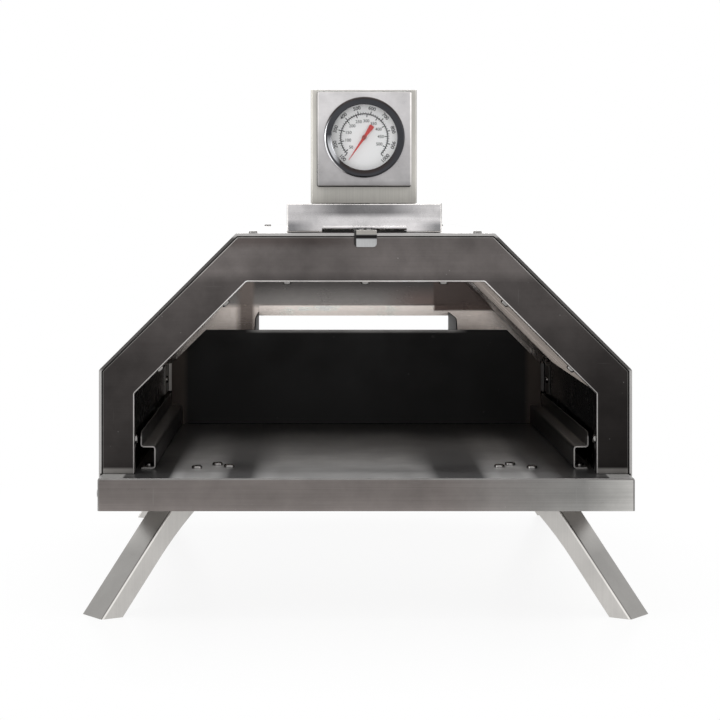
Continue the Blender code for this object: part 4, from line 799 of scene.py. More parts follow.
class OVEN_OT_body(Operator):
    """Finishes the floor plate, shell, front and rear panels and what lies between them"""

    bl_idname = "oven.body"
    bl_label = "Body panels"

    def execute(self, context):
        colours = finishes()
        highlight_tone, front, shell = colours.bend_steel, colours.front_steel, colours.shell_steel

        # Painted light and shade on the front panel: painted shade low on the right slope, a
        # painted reflection on the feet of the posts, the painted bend highlight, a painted
        # reflection on the slopes' returns, and painted shade on the faces turned sideways and up
        # and on the outer edges.
        shaded = zone(shade(front, 0.54), 1.0, lies(X, 0.08, 0.19),
                      lies(Z, SHOULDER + 0.04, SHOULDER - 0.03))
        tinted = zone((0.048, 0.041, 0.039), 1.0, lies(Z, 0.2785, 0.2845), lies(X, 0.0, -0.03))
        foot_reflection = zone((0.46, 0.44, 0.42), 1.0, lies(Z, FLOOR + 0.0052, FLOOR + 0.0034))
        slope_reflection = zone((0.62, 0.57, 0.54), 0.8, faces(Z, -0.50, -0.64),
                     either(faces(Y, 0.35, 0.15)))
        upright = zone((0.06, 0.057, 0.055), 1.0, either(faces(X, 0.95, 0.99)))
        outer = zone(EDGE_SHADE, 1.0, faces(Z, 0.12, 0.30))
        outer_edge_shade = zone((0.12, 0.115, 0.11), 1.0, either(lies(X, 0.1990, 0.2000)),
                           either(faces(Y, 0.985, 0.92)))
        folded_piece("front_panel", "front_sheet", brushed_steel(
            "front_panel_steel", front, roughness=0.36, contrast=0.05, smudge=0.16, drift=0.22,
            scratches=0.04, specks=0.7, zones=(shaded, tinted, foot_reflection, bends(Y, shade(highlight_tone, 1.3)),
                                               slope_reflection, upright, outer, outer_edge_shade),
            # The ramps paint shade low on the panel and light on the top bar.
            ramps=((Z, 0.110, 0.150, 0.72, 1.0), (Z, 0.190, 0.262, 0.63, 1.12),
                   (Z, 0.2535, 0.2620, 1.0, 1.75))), "oven")

        # Painted light on the floor plate: its top shows painted reflections of the light behind
        # the oven, in pale streaks between painted shadows of what stands on it, and painted shade
        # along its sides; the sill has painted light at its right end and on the landings, and the
        # painted bend highlight runs along its bends and on faces turned down.
        up = faces(Z, 0.93, 0.985)
        within = either(lies(X, 0.150, 0.126))
        sunny = zone((0.27, 0.266, 0.257), 1.0, FOREWARD, lies(X, 0.06, 0.16))
        glare = zone((0.56, 0.55, 0.53), 1.0, FOREWARD, lies(X, 0.165, 0.200))
        ends = zone(shell, 1.0, SIDEWAYS)
        rearward = zone(shell, 1.0, faces(Y, 0.8, 0.95))
        level = zone((0.20, 0.199, 0.200), 0.5, up)
        margins = zone((0.035, 0.035, 0.036), 0.5, up, lies(Y, -0.12, -0.22))
        far = zone((0.45, 0.45, 0.455), 0.3, up, within, lies(Y, 0.02, -0.10))
        near = zone((0.095, 0.095, 0.098), 0.3, up, within, lies(Y, -0.13, -0.25))
        gleams = []
        for sides in ((lies(X, -0.088, -0.066), lies(X, 0.056, 0.034)),
                      (lies(X, -0.104, -0.120), lies(X, -0.150, -0.138)),
                      (lies(X, 0.088, 0.104), lies(X, 0.131, 0.119))):
            gleams += [zone((0.88, 0.875, 0.87), 0.2, up, *sides, lies(Y, 0.05, -0.22)),
                       zone((0.46, 0.458, 0.455), 0.2, up, *sides, lies(Y, -0.19, -0.28))]
        landing = zone((0.40, 0.395, 0.385), 0.6, up, either(lies(X, 0.1835, 0.1850)),
                       lies(Y, FRONT, FRONT - 0.002))
        down = zone(highlight_tone, 0.8, faces(Z, -0.5, -0.9))
        finish_nodes(brushed_steel(
            "floor_plate_steel", colours.sill_steel, roughness=0.32, contrast=0.10, smudge=0.09,
            drift=0.10, scratches=0.05, specks=0.3,
            zones=(sunny, glare, bends(Y, shade(highlight_tone, 0.36)), ends, rearward, level, margins,
                   far, near, *gleams, landing, down),
            # The ramp paints light on the lower part of the sill.
            ramps=((Z, 0.080, 0.092, 1.20, 0.95),)), "base_pan")

        # Painted shade on the shell's front and rear edges, from the shoulders to just under the
        # roof.
        hem = zone(EDGE_SHADE, 1.0, either(faces(Y, 0.8, 0.95)),
                   lies(Z, SHOULDER - 0.001, SHOULDER + 0.001),
                   lies(Z, ROOF - 0.002, ROOF - 0.004))
        finish_nodes(brushed_steel("shell_steel", shell, grain=ALONG_Y, smudge=0.05, drift=0.05,
                                   scratches=0.08, zones=(hem,)), "outer_shell")

        # The rear wall above its opening, as it is seen through the mouth: painted light on its
        # inner face and its lip, and painted shade that grows darker towards the top of the wall.
        corner, high = faces(Y, -0.60, -0.65), lies(Z, 0.2085, 0.2135)
        inward = zone((0.86, 0.78, 0.73), 0.9, FOREWARD)
        upper = zone((0.28, 0.265, 0.255), 0.9, FOREWARD, high)
        blush = zone((0.23, 0.175, 0.16), 0.9, FOREWARD, high, lies(X, 0.025, 0.065))
        top = zone((0.095, 0.088, 0.085), 0.9, FOREWARD, lies(Z, 0.2150, 0.2320))
        lip = zone((0.90, 0.82, 0.77), 1.0, faces(Z, -0.2, -0.4))
        brown_left = zone((0.25, 0.21, 0.19), 0.9, FOREWARD, lies(X, -0.120, -0.113),
                          lies(X, -0.099, -0.103))
        brown_right = zone((0.11, 0.082, 0.073), 0.9, corner, lies(X, 0.0795, 0.0820),
                           lies(Z, 0.2050, 0.2070))
        finish_nodes(brushed_steel(
            "back_panel_steel", shell, roughness=0.24, smudge=0.12, drift=0.12,
            zones=(inward, upper, blush, top, lip, brown_left, brown_right),
            rolled=((corner, lies(Z, 0.2135, 0.2115)), (0.0, -1.0, 0.045))), "back_panel")

        # Painted shade on the liner's side walls and painted light on its ceiling.
        ceiling = faces(Z, -0.3, -0.6)
        mouth = (ceiling, lies(Y, 0.045, 0.020), lies(X, -0.02, 0.05))
        finish_nodes(brushed_steel(
            "liner_steel", shell, roughness=0.22, grain=ALONG_Y, smudge=0.25, drift=0.20,
            zones=(zone((0.055, 0.052, 0.05), 1.0, SIDEWAYS),
                   zone((0.95, 0.88, 0.83), 0.65, ceiling),
                   zone((0.36, 0.315, 0.285), 1.0, *mouth)),
            rolled=(mouth, (-0.1, -1.0, -0.02))), "inner_liner")
        finish_nodes(fibre_wool("ceramic_fibre"), "insulation_blanket", broken_edges=False)
        return {"FINISHED"}


class OVEN_OT_cooking_space(Operator):
    """Finishes the stone rails, the baffle and its straps"""

    bl_idname = "oven.cooking_space"
    bl_label = "Rails and baffle"

    def execute(self, context):
        black = finishes().heat_black
        # Painted light on the baffle's top edge, glowing brightest over two short stretches.
        crown = zone(shade(black, 2.6), 1.0, lies(Z, 0.184, 0.196))
        glow = zone((0.44, 0.43, 0.42), 1.0, lies(Z, 0.1918, 0.1945),
                    either(lies(X, 0.105, 0.090)))
        warm = zone((0.045, 0.034, 0.028), 1.0, either(lies(X, 0.158, 0.163)))
        rear = zone((0.70, 0.66, 0.62), 1.0, faces(Y, 0.5, 0.8))
        finish_nodes(heat_black("heat_black", black, zones=(crown, glow, warm, rear)),
                     "baffle_plate")
        # Painted light on the rails' tops and a painted highlight on their front edges.
        up = zone((0.17, 0.163, 0.157), 0.5, faces(Z, 0.6, 0.9))
        fore = zone((0.34, 0.33, 0.32), 1.0, FOREWARD)
        finish_nodes(brushed_steel("rail_steel", (0.15, 0.145, 0.14), grain=ALONG_Y, smudge=0.08,
                                   drift=0.1, scratches=0.05, zones=(up, fore)),
                     "stone_rail_left", "stone_rail_right")
        # Painted light on the left strap.
        left = zone((0.30, 0.285, 0.27), 0.8, lies(X, 0.0, -0.01))
        finish_nodes(brushed_steel("strap_steel", (0.08, 0.077, 0.075), roughness=0.36,
                                   grain=ALONG_Z, smudge=0.08, zones=(left,)),
                     "baffle_bracket_left", "baffle_bracket_right")
        return {"FINISHED"}


class OVEN_OT_chimney(Operator):
    """Finishes the flue, collar, damper and chimney tube, and adds the slot's folded hem"""

    bl_idname = "oven.chimney"
    bl_label = "Chimney and damper"

    def execute(self, context):
        colours = finishes()
        shell = colours.shell_steel
        low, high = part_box("chimney_collar")
        # Painted shade on the collar's front, high in its middle and at its lower corners, a
        # painted highlight just under its top edge and painted shade on the edge itself; the ramp
        # paints it darker towards the top.
        brow = zone((0.22, 0.215, 0.22), 1.0, FOREWARD, lies(Z, 0.3035, 0.3070),
                    either(lies(X, 0.050, 0.020)))
        corners = zone((0.26, 0.258, 0.265), 1.0, FOREWARD, either(lies(X, 0.040, 0.056)),
                       lies(Z, 0.3015, 0.2975))
        top_highlight = zone((0.80, 0.80, 0.81), 1.0, FOREWARD,
                      lies(Z, high.z - 0.0018, high.z - 0.0014))
        rim = zone((0.10, 0.098, 0.097), 1.0, FOREWARD, lies(Z, high.z - 0.0007, high.z - 0.0004))
        bright = brushed_steel(
            "collar_steel", shade(colours.plate_steel, 1.2), roughness=0.26, grain=LEVEL,
            contrast=0.05, smudge=0.18, drift=0.14, bands=0.18, scratches=0.06,
            zones=(brow, corners, bends(Y, shade(colours.bend_steel, 1.35)), top_highlight, rim),
            ramps=((Z, 0.3020, 0.3075, 1.0, 0.78),))
        folded_piece("chimney_collar", "collar_sheet", bright, "oven")
        # The chimney's ramps paint the plate's shadow low on the tube and light on its left side.
        finish_nodes(brushed_steel(
            "chimney_steel", colours.tube_steel, grain=ALONG_Z, contrast=0.09, drift=0.06,
            ramps=((Z, 0.316, 0.334, 0.66, 1.0), (X, -0.042, -0.030, 1.25, 1.0))), "chimney_tube")
        finish_nodes(brushed_steel("flue_steel", shell, grain=ALONG_Z, contrast=0.08,
                                   smudge=0.08), "flue_sleeve")

        # Soot and painted shade darken the damper plate behind its front strip.
        soot_and_shade = zone((0.012, 0.0115, 0.011), 0.8, lies(Y, -0.2965, -0.2880))
        finish_nodes(brushed_steel("damper_steel", shell, roughness=0.30, grain=ALONG_Y,
                                   contrast=0.08, smudge=0.05, zones=(soot_and_shade,)), "damper_plate")
        # Painted shade on the pull's bend and a painted shadow along its left edge.
        root = zone((0.36, 0.345, 0.32), 0.8, lies(Z, 0.2898, 0.2908))
        bend_shade = zone((0.016, 0.015, 0.015), 1.0, lies(Z, 0.2866, 0.2878), lies(Z, 0.2908, 0.2898))
        left_edge_shadow = zone((0.03, 0.029, 0.028), 1.0, lies(X, -0.0068, -0.0074))
        finish_nodes(brushed_steel(
            "damper_pull_steel", (0.44, 0.445, 0.45), roughness=0.30, grain=ALONG_Z,
            contrast=0.08, smudge=0.12,
            zones=(root, bend_shade, left_edge_shadow, zone(shell, 1.0, faces(Z, 0.90, 0.98)))), "damper_tab")

        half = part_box("damper_plate")[1].x
        width, height = 0.0014, 0.0024
        base = ROOF + 2 * (SHEET + GAP) + GAP
        hem = block("slot_hem", (2 * half, width, height), (0, low.y - GAP, base + height / 2))
        with editing(hem):
            select_parts(hem, EDGES, lambda line: line.calc_length() > half
                         and min(vert.co.y for vert in line.verts) < low.y - width / 3)
            bevel_selected(0.0006, 4, profile=0.5)
        shade_round(hem)
        dress(hem, bright, "oven")
        return {"FINISHED"}


class OVEN_OT_legs(Operator):
    """Rounds the bends of the folding legs and finishes their brackets and pins"""

    bl_idname = "oven.legs"
    bl_label = "Folding legs"

    def execute(self, context):
        bracket = brushed_steel("bracket_steel", finishes().screw_steel, roughness=0.36,
                                contrast=0.08, smudge=0.05)
        pin = turned_steel("pin_steel", 0.28)
        flange = finishes().leg_steel
        web = math.sin(LEG_LEAN)
        on_web = faces(Z, web - 0.06, web - 0.02)
        # The legs' faces are painted lighter or darker by which way they turn: painted light on
        # faces turned a little up, painted shade on the bend and on the web, which is lighter near
        # its top.
        zones = (zone(shade(flange, 1.6), 1.0, faces(Z, 0.04, 0.16)),
                 zone(shade(flange, 0.25), 1.0, faces(Z, web - 0.22, web - 0.10)),
                 zone(shade(flange, 0.60), 1.0, on_web),
                 zone(shade(flange, 1.05), 1.0, on_web, lies(Z, 0.045, 0.070)))
        for row, end in (("front", 1), ("rear", -1)):
            for hand, side in (("left", -1), ("right", 1)):
                corner = f"{row}_{hand}"
                inward = math.atan2(end * math.sin(LEG_HEADING), -side * math.cos(LEG_HEADING))
                turn = Euler((0, -LEG_LEAN, 0)).to_matrix() @ Matrix.Rotation(-inward, 3, "Z")
                steel = brushed_steel(f"leg_steel_{corner}", flange, grain=ALONG_Z, contrast=0.05,
                                      smudge=0.05, drift=0.05, scratches=0.10,
                                      turn=tuple(turn.to_euler()), zones=zones)
                folded_piece(f"leg_{corner}", f"leg_channel_{corner}", steel, f"{corner}_leg",
                             HEAVY_SHEET)
                finish_nodes(bracket, f"leg_bracket_{corner}")
                finish_nodes(pin, f"leg_pin_{corner}")
        return {"FINISHED"}


class OVEN_OT_burner(Operator):
    """Finishes the burner plates, fuel drawer, grate, pellet box and lid"""

    bl_idname = "oven.burner"
    bl_label = "Burner and pellet box"

    def execute(self, context):
        shell = finishes().shell_steel
        finish_nodes(brushed_steel("burner_plate_steel", (0.09, 0.086, 0.084), roughness=0.60,
                                   grain=ALONG_Y),
                     "burner_side_plate_left", "burner_side_plate_right")
        finish_nodes(brushed_steel("drawer_steel", shell, roughness=0.36, smudge=0.07),
                     "fuel_drawer")
        finish_nodes(heat_black("grate_black", finishes().heat_black, 0.5), "fuel_grate")
        finish_nodes(brushed_steel("pellet_box_steel", shell, drift=0.05, scratches=0.10),
                     "pellet_box", "pellet_box_lid")
        finish_nodes(turned_steel("lid_pin_steel", 0.3), "lid_pin")
        finish_nodes(turned_steel("knob_screw_steel", 0.3), "drawer_knob_screw",
                     broken_edges=False)
        return {"FINISHED"}


class OVEN_OT_knob(Operator):
    """Turns the fuel drawer's knob as a smooth solid"""

    bl_idname = "oven.knob"
    bl_label = "Drawer knob"

    def execute(self, context):
        low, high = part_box("drawer_knob")
        bore, neck = 0.0021, 0.0055
        radius = (high.x - low.x) / 2
        end = high.y - low.y
        knob = spun("knob", [
            (bore, 0.0), (neck, 0.0), (neck, 0.0052), (0.0068, 0.0068),
            (radius - 0.0012, 0.0082), (radius, 0.0112), (radius, end - 0.0050),
            (radius - 0.0011, end - 0.0018), (radius - 0.0042, end - 0.0002),
            (0.0040, end - 0.0008), (0.0, end - 0.0011)], sides=48)
        middle = Vector(((low.x + high.x) / 2, low.y, (low.z + high.z) / 2))
        knob.matrix_world = Matrix.Translation(middle) @ facing(BACKWARD)
        apply_place(knob)
        shade_round(knob)
        dress(knob, plain_gloss("knob_plastic", (0.022, 0.022, 0.023), 0.42), "drawer")
        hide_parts("drawer_knob")
        return {"FINISHED"}


class OVEN_OT_screws(Operator):
    """Sets the sheet-metal screws into their drilled holes"""

    bl_idname = "oven.screws"
    bl_label = "Sheet-metal screws"

    def execute(self, context):
        sizes = context.scene.oven_fasteners
        steel = turned_steel("screw_steel", 0.22, 0.12, 900.0)
        screw = pan_head("screw", sizes.screw_head, sizes.screw_height, sizes.screw_shank,
                         2 * SHEET + GAP + 0.0030, sizes.screw_head * 0.52)
        for name, places in (("roof", roof_places()), ("skirt", skirt_places()),
                             ("mouth", mouth_places()), ("rail", rail_places()),
                             ("burner_plate", burner_plate_places()),
                             ("baffle_strap", strap_places()),
                             ("pellet_box", pellet_box_places())):
            set_fasteners(screw, f"{name}_screws", places, steel)
        discard(screw)
        return {"FINISHED"}


class OVEN_OT_rivets(Operator):
    """Sets the collar's rivets and the two rivets of the damper's pull"""

    bl_idname = "oven.rivets"
    bl_label = "Rivets"

    def execute(self, context):
        sizes = context.scene.oven_fasteners
        steel = turned_steel("rivet_steel", 0.25, 0.10, 900.0)
        rivet = pan_head("rivet", sizes.rivet_head, sizes.rivet_height, sizes.rivet_shank,
                         2 * SHEET + GAP)
        set_fasteners(rivet, "collar_rivets", collar_rivet_places(), steel)
        set_fasteners(rivet, "damper_rivets", damper_rivet_places(), steel, "damper")
        discard(rivet)
        return {"FINISHED"}


class OVEN_OT_leg_bolts(Operator):
    """Sets three finer bolts over each leg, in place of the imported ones"""

    bl_idname = "oven.leg_bolts"
    bl_label = "Leg bolts"

    def execute(self, context):
        sizes = context.scene.oven_fasteners
        nodes = [f"leg_bolt_{row}_{hand}_{count}" for row in ("front", "rear")
                 for hand in ("left", "right") for count in (1, 2, 3)]
        bolt = pan_head("bolt", sizes.bolt_head, sizes.bolt_height, sizes.bolt_shank,
                        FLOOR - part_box(nodes[0])[0].z - 0.0006, sizes.bolt_head * 0.5)
        middles = [sum(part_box(node), Vector()) / 2 for node in nodes]
        piece = set_fasteners(bolt, "leg_bolts", [((spot.x, spot.y, FLOOR), UP)
                                                  for spot in middles],
                              turned_steel("bolt_steel", 0.20, 0.10, 900.0))
        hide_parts(*nodes)
        discard(bolt)
        return {"FINISHED"}


# Thermometer. It is drawn face up round the origin, then turned to face the front.

LONG_MARK = 0.0026
SHORT_OUTER, SHORT_INNER = 0.0013, 0.0012
OUTER_FIGURES, INNER_FIGURES = 0.0048, 0.0056      # from the arc to the figures' middle


def to_dial(piece):
    piece.matrix_world = (Matrix.Translation(DIAL_CENTRE) @ Matrix.Rotation(math.pi / 2, 4, "X")
                          @ piece.matrix_world)
    apply_place(piece)


def radial(turn, radius, height=0.0):
    return Vector((radius * math.cos(turn), radius * math.sin(turn), height))


def ticks(turns, inner, outer, width, height):
    """Copies of one thin bar with cut corners along radii, from an inner to an outer radius."""
    bar = block("tick", (outer - inner, width, height), (0, 0, height / 2))
    with editing(bar):
        select_parts(bar, EDGES,
                     lambda edge: abs(edge.verts[0].co.z - edge.verts[1].co.z) > height / 2)
        bevel_selected(width * 0.3)
    copies = [copy_at(bar, Matrix.Translation(radial(turn, (inner + outer) / 2))
                      @ Matrix.Rotation(turn, 4, "Z")) for turn in turns]
    discard(bar)
    return copies


def figure(text, size, place, turn, height, weight):
    """One number as a thin flat mesh."""
    deselect_all()
    bpy.ops.object.text_add(location=place, rotation=(0, 0, turn))
    item = bpy.context.active_object
    item.data.body = str(text)
    item.data.size = size
    item.data.align_x = "CENTER"
    item.data.align_y = "CENTER"
    item.data.extrude = height / 2
    item.data.offset = size * weight
    item.data.resolution_u = 4
    bpy.ops.object.convert(target="MESH")
    return bpy.context.active_object


def spun_arc(name, radius, width, height, start, sweep):
    """A flat band along part of a circle, clockwise from its start."""
    band = primitive(bpy.ops.mesh.primitive_plane_add, name, size=1, location=(0, 0, 0))
    for key, value in (("scale", (width, height, 1)), ("rotation_euler", (math.pi / 2, 0, 0)),
                       ("location", (radius, 0, height / 2)), ("rotation_euler", (0, 0, start))):
        setattr(band, key, value)
        apply_place(band)
    spin(band, 96, sweep)
    return band


class OVEN_OT_dial(Operator):
    """Prints the two scales on the dial and finishes the thermometer's parts"""

    bl_idname = "oven.dial"
    bl_label = "Dial"

    def execute(self, context):
        sizes = context.scene.oven_dial
        start, step, radius = sizes.start_angle, sizes.step_angle, sizes.scale_radius
        ink, wide, thin = sizes.ink_height, sizes.line_width, sizes.line_width * 0.6

        def fahrenheit(value):
            return start - (value - 100) / 100 * step

        def celsius(value):
            return fahrenheit(1.8 * value + 32)

        outer = [fahrenheit(value) for value in range(100, 1001, 100)]
        inner = [celsius(value) for value in range(50, 501, 50)]
        marks = ticks(outer, radius, radius + LONG_MARK, wide, ink)
        marks += ticks([fahrenheit(value) for value in range(100, 1001, 20) if value % 100],
                       radius, radius + SHORT_OUTER, thin, ink)
        marks += ticks(inner, radius - LONG_MARK, radius, wide, ink)
        marks += ticks([celsius(value) for value in range(40, 540, 10) if value % 50],
                       radius - SHORT_INNER, radius, thin, ink)
        marks.append(spun_arc("scale_arc", radius, wide, ink, start, step * 9))
        for count, turn in enumerate(outer):
            upright = math.pi if count in (0, 9) else 0
            marks.append(figure(100 * (count + 1), sizes.outer_text,
                                radial(turn, radius + OUTER_FIGURES, ink / 2),
                                turn - math.pi / 2 + upright, ink, weight=0.022))
        for count, turn in enumerate(inner):
            marks.append(figure(50 * (count + 1), sizes.inner_text,
                                radial(turn, radius - INNER_FIGURES, ink / 2), 0, ink,
                                weight=0.012))
        piece = join(marks, "dial_marks")
        to_dial(piece)
        dress(piece, plain_gloss("dial_ink", (0.010, 0.010, 0.012), 0.5), "chimney")

        # The enamel's ramps paint the bezel's shadow on the dial's left and top.
        finish_nodes(plain_gloss(
            "dial_enamel", (0.93, 0.93, 0.935), 0.38, 0.012,
            ramps=((X, -0.027, -0.010, 0.66, 1.0), (Z, 0.372, 0.393, 1.0, 0.80))),
            "thermometer_dial", broken_edges=False)
        finish_nodes(clear_glass("dial_glass"), "thermometer_glass", broken_edges=False)
        finish_nodes(plain_gloss("spindle_brass", (0.50, 0.42, 0.26), 0.3, metallic=1.0),
                     "thermometer_spindle", broken_edges=False)
        # Painted shade on the plate's faces turned up, left and down, the painted bend highlight
        # on its other edges, and ramps that paint it lighter towards the top and darker along the
        # bottom edge.
        over = zone((0.09, 0.088, 0.086), 1.0, faces(Z, 0.3, 0.7))
        leftward = zone((0.16, 0.157, 0.154), 1.0, faces(X, -0.3, -0.7))
        under = zone((0.07, 0.068, 0.066), 1.0, faces(Z, -0.3, -0.7))
        colours = finishes()
        finish_nodes(brushed_steel(
            "dial_plate_steel", colours.plate_steel, roughness=0.32, contrast=0.02, smudge=0.14,
            drift=0.08, scratches=0.12,
            zones=(bends(Y, shade(colours.bend_steel, 1.3)), over, leftward, under),
            ramps=((Z, PLATE_LOW.z + 0.002, PLATE_HIGH.z - 0.010, 0.70, 1.15),
                   (Z, PLATE_LOW.z + 0.001, PLATE_LOW.z + 0.005, 0.70, 1.0))),
            "thermometer_plate")
        finish_nodes(brushed_steel("case_steel", colours.shell_steel, grain=LEVEL),
                     "thermometer_case", "thermometer_stem", "thermometer_nut")
        return {"FINISHED"}


class OVEN_OT_needle(Operator):
    """Cuts the dial's slim needle with its broad tail, and caps its hub"""

    bl_idname = "oven.needle"
    bl_label = "Needle"

    def execute(self, context):
        low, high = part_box("thermometer_pointer")
        base = DIAL_CENTRE.y - high.y
        half_outline = [(0.0218, 0.00016), (0.0100, 0.00062), (0.0022, 0.00105), (0.0014, 0.00145),
                        (0.0, 0.0017), (-0.0014, 0.00145), (-0.0020, 0.00110),
                        (-0.0104, 0.00205), (-0.0112, 0.00175)]
        outline = [(along, across, base) for along, across in half_outline]
        outline += [(along, -across, base) for along, across in reversed(half_outline)]
        needle = traced("dial_needle", outline)
        with editing(needle):
            bpy.ops.mesh.edge_face_add()
            extrude_selected((0, 0, high.y - low.y))
        tidy_normals(needle)
        needle.rotation_euler = (0, 0, context.scene.oven_dial.needle_angle)
        apply_place(needle)
        bevel = needle.modifiers.new("edges", "BEVEL")
        bevel.width = 0.00008
        bevel.limit_method = "ANGLE"
        bevel.angle_limit = SHARP
        apply_all_modifiers(needle)
        cap = spun("needle_cap", [(0.0, 0.0031), (0.0009, 0.0030), (0.0016, 0.0025),
                                  (0.0018, 0.0019), (0.0011, 0.00185), (0.00105, 0.0019),
                                  (0.00105, 0.0028), (0.0, 0.0028)], sides=32)
        for piece, name, tone, roughness in ((needle, "needle_red", (0.60, 0.014, 0.010), 0.34),
                                             (cap, "cap_red", (0.30, 0.022, 0.016), 0.35)):
            to_dial(piece)
            shade_round(piece)
            dress(piece, plain_gloss(name, tone, roughness), "pointer")
        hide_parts("thermometer_pointer")
        return {"FINISHED"}


class OVEN_OT_bezel(Operator):
    """Turns the dial's bezel ring with its rounded crown"""

    bl_idname = "oven.bezel"
    bl_label = "Dial bezel"

    def execute(self, context):
        low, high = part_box("thermometer_bezel")
        broader = 0.0013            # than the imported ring, as it looks in the photograph
        outer = (high.x - low.x) / 2 + broader
        depth = DIAL_CENTRE.y - low.y
        bore, window, lip, chamfer = 0.0287, 0.0259, 0.0046, 0.0002
        crown_width, crown_height, crown_steps = 0.0021, 0.0026, 6
        dip, dip_steps = 0.0013, 5
        crown = outer - crown_width
        profile = [(bore, GAP), (outer - chamfer, GAP), (outer, GAP + chamfer)]
        for step in range(crown_steps + 1):
            turn = math.radians(90 / crown_steps * step)
            profile.append((crown + crown_width * math.cos(turn),
                            depth - crown_height * (1 - math.sin(turn))))
        for step in range(1, dip_steps + 1):
            share = step / dip_steps
            profile.append((crown + (window + chamfer - crown) * share,
                            depth - dip * share ** 1.7))
        profile += [(window, depth - dip - chamfer), (window, lip), (bore, lip), (bore, GAP)]
        ring = spun("bezel", profile, context.scene.oven_dial.ring_sides)
        to_dial(ring)
        shade_round(ring)
        # The bezel's dark tone is a painted dark reflection, darkest on its faces turned up, with
        # a painted glint and a crescent of painted light on its left and a painted highlight round
        # its walls.
        upper = zone((0.036, 0.029, 0.028), 1.0, faces(Z, 0.10, 0.40))
        glint = zone((0.88, 0.88, 0.90), 1.0, faces(X, -0.28, -0.50), faces(X, -0.93, -0.80),
                     faces(Z, 0.25, 0.05), lies(X, -0.012, -0.018))
        crescent = zone((0.50, 0.51, 0.53), 1.0, faces(X, 0.08, 0.20), lies(X, -0.019, -0.024),
                        lies(Z, DIAL_CENTRE.z + 0.002, DIAL_CENTRE.z - 0.006),
                        faces(Z, 0.80, 0.55))
        rim = zone((0.45, 0.45, 0.46), 1.0, either(faces(Y, 0.30, 0.15)))
        dress(ring, brushed_steel("bezel_steel", (0.046, 0.047, 0.052), roughness=0.15,
                                  grain=LEVEL, contrast=0.03, smudge=0.05, drift=0.35,
                                  zones=(upper, glint, crescent, rim)),
              "chimney")
        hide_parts("thermometer_bezel")
        return {"FINISHED"}


# Studio

class OVEN_OT_studio(Operator):
    """Sets the floor, the even pale background, the soft lamps and the camera"""

    bl_idname = "oven.studio"
    bl_label = "Studio"

    def execute(self, context):
        settings = context.scene.oven_studio
        floor = primitive(bpy.ops.mesh.primitive_plane_add, "floor", size=14)
        with editing(floor):
            bpy.ops.mesh.subdivide(number_cuts=3)
        floor.data.materials.append(floor_paper())
        pale_sky(settings.sky)
        aim = (0, 0, 0.25)
        side = settings.side_lamp
        soft_lamp("top_softbox", (0.0, -0.35, 1.9), aim, 1.8, 0.35, settings.top_lamp)
        soft_lamp("left_strip", (-1.7, -0.9, 0.8), aim, 0.22, 1.2, side)
        soft_lamp("right_strip", (1.7, -0.9, 0.8), aim, 0.22, 1.2, side / 2)
        soft_lamp("rear_softbox", (0.0, 1.5, 1.3), (0, 0.2, 0.15), 1.0, 0.6, settings.rear_lamp)
        lens = bpy.data.cameras.new("camera")
        camera = bpy.data.objects.new("camera", lens)
        context.scene.collection.objects.link(camera)
        camera.location = settings.camera_place
        camera.rotation_euler = (math.pi / 2, 0, 0)
        lens.sensor_width = 36.0
        lens.lens = settings.lens
        lens.shift_x = settings.shift_across
        lens.shift_y = settings.shift_up
        lens.clip_start = 0.05
        lens.clip_end = 60.0
        context.scene.camera = camera
        context.scene.view_settings.view_transform = "Standard"
        return {"FINISHED"}


def seen_directly(tree):
    """One on camera, glossy and transmission rays, nought on the others."""
    path = tree.nodes.new("ShaderNodeLightPath")
    seen = path.outputs["Is Camera Ray"]
    for ray in ("Is Glossy Ray", "Is Transmission Ray"):
        most = tree.nodes.new("ShaderNodeMath")
        most.operation = "MAXIMUM"
        tree.links.new(seen, most.inputs[0])
        tree.links.new(path.outputs[ray], most.inputs[1])
        seen = most.outputs[0]
    return seen


def pale_sky(strength):
    """White where it is seen, a little weaker where it only lights."""
    world = bpy.data.worlds.new("pale_sky")
    bpy.context.scene.world = world
    world.use_nodes = True
    tree = world.node_tree
    background = tree.nodes["Background"]
    background.inputs["Color"].default_value = (1, 1, 1, 1)
    level = tree.nodes.new("ShaderNodeMapRange")
    level.inputs["To Min"].default_value = strength
    level.inputs["To Max"].default_value = 1.0
    tree.links.new(seen_directly(tree), level.inputs["Value"])
    tree.links.new(level.outputs["Result"], background.inputs["Strength"])


def floor_paper():
    """White studio paper with a faint sheen, fading into the background away from the oven."""
    nodes = Nodes("floor_paper")
    fine = nodes.noise(nodes.mapped(), 300.0)
    nodes.finish({"Base Color": nodes.mixed(fine, (0.925, 0.925, 0.925), (0.945, 0.945, 0.945)),
                  "Roughness": 0.22, "Specular IOR Level": 0.45})
    distance = nodes.add("VectorMath", {0: nodes.sources["lies"]}, "Value", operation="LENGTH")
    fade = nodes.ranged(distance, 0.36, 0.60, 0.88, 1.0)
    both = nodes.add("MixShader", {0: nodes.product(fade, seen_directly(nodes.tree)),
                                   1: nodes.shader.outputs[0], 2: nodes.add("Emission", {})})
    nodes.feed(nodes.tree.nodes["Material Output"].inputs["Surface"], both)
    return nodes.material


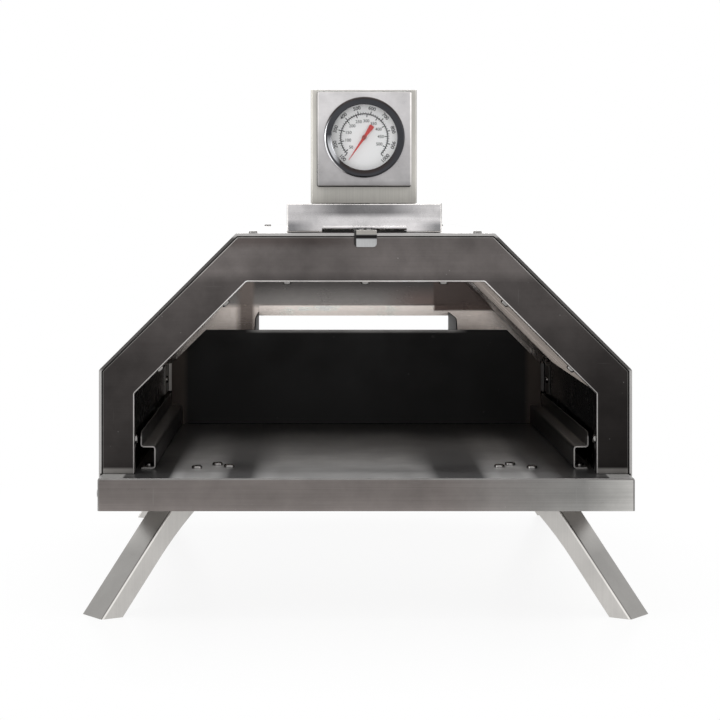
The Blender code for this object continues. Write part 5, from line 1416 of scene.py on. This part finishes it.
def soft_lamp(name, place, aim, width, height, power):
    lamp = bpy.data.lights.new(name, "AREA")
    lamp.shape = "RECTANGLE"
    lamp.size = width
    lamp.size_y = height
    lamp.energy = power
    item = bpy.data.objects.new(name, lamp)
    bpy.context.scene.collection.objects.link(item)
    item.location = place
    item.rotation_euler = (Vector(aim) - Vector(place)).to_track_quat("-Z", "Y").to_euler()


# Panel and registration. The operators run in this order.

OPERATORS = (OVEN_OT_body, OVEN_OT_cooking_space, OVEN_OT_chimney, OVEN_OT_legs, OVEN_OT_burner,
             OVEN_OT_knob, OVEN_OT_screws, OVEN_OT_rivets, OVEN_OT_leg_bolts, OVEN_OT_dial,
             OVEN_OT_needle, OVEN_OT_bezel, OVEN_OT_studio)

SETTINGS = {"oven_finish": OvenFinishSettings, "oven_fasteners": OvenFastenerSettings,
            "oven_dial": OvenDialSettings, "oven_studio": OvenStudioSettings}


class OVEN_PT_panel(Panel):
    """Lists the settings and the steps that finish the oven"""

    bl_idname = "OVEN_PT_panel"
    bl_label = "Pizza oven"
    bl_space_type = "VIEW_3D"
    bl_region_type = "UI"
    bl_category = "Pizza oven"

    def draw(self, context):
        for name in SETTINGS:
            group = getattr(context.scene, name)
            box = self.layout.box()
            for setting in group.__annotations__:
                box.prop(group, setting)
        for operator in OPERATORS:
            self.layout.operator(operator.bl_idname)


def register():
    for name, group in SETTINGS.items():
        bpy.utils.register_class(group)
        setattr(bpy.types.Scene, name, PointerProperty(type=group))
    for item in (*OPERATORS, OVEN_PT_panel):
        bpy.utils.register_class(item)


def unregister():
    for item in (OVEN_PT_panel, *reversed(OPERATORS)):
        bpy.utils.unregister_class(item)
    for name, group in reversed(SETTINGS.items()):
        delattr(bpy.types.Scene, name)
        bpy.utils.unregister_class(group)


def main():
    register()
    bpy.ops.oven.body()
    bpy.ops.oven.cooking_space()
    bpy.ops.oven.chimney()
    bpy.ops.oven.legs()
    bpy.ops.oven.burner()
    bpy.ops.oven.knob()
    bpy.ops.oven.screws()
    bpy.ops.oven.rivets()
    bpy.ops.oven.leg_bolts()
    bpy.ops.oven.dial()
    bpy.ops.oven.needle()
    bpy.ops.oven.bezel()
    bpy.ops.oven.studio()
    deselect_all()


if __name__ == "__main__":
    main()
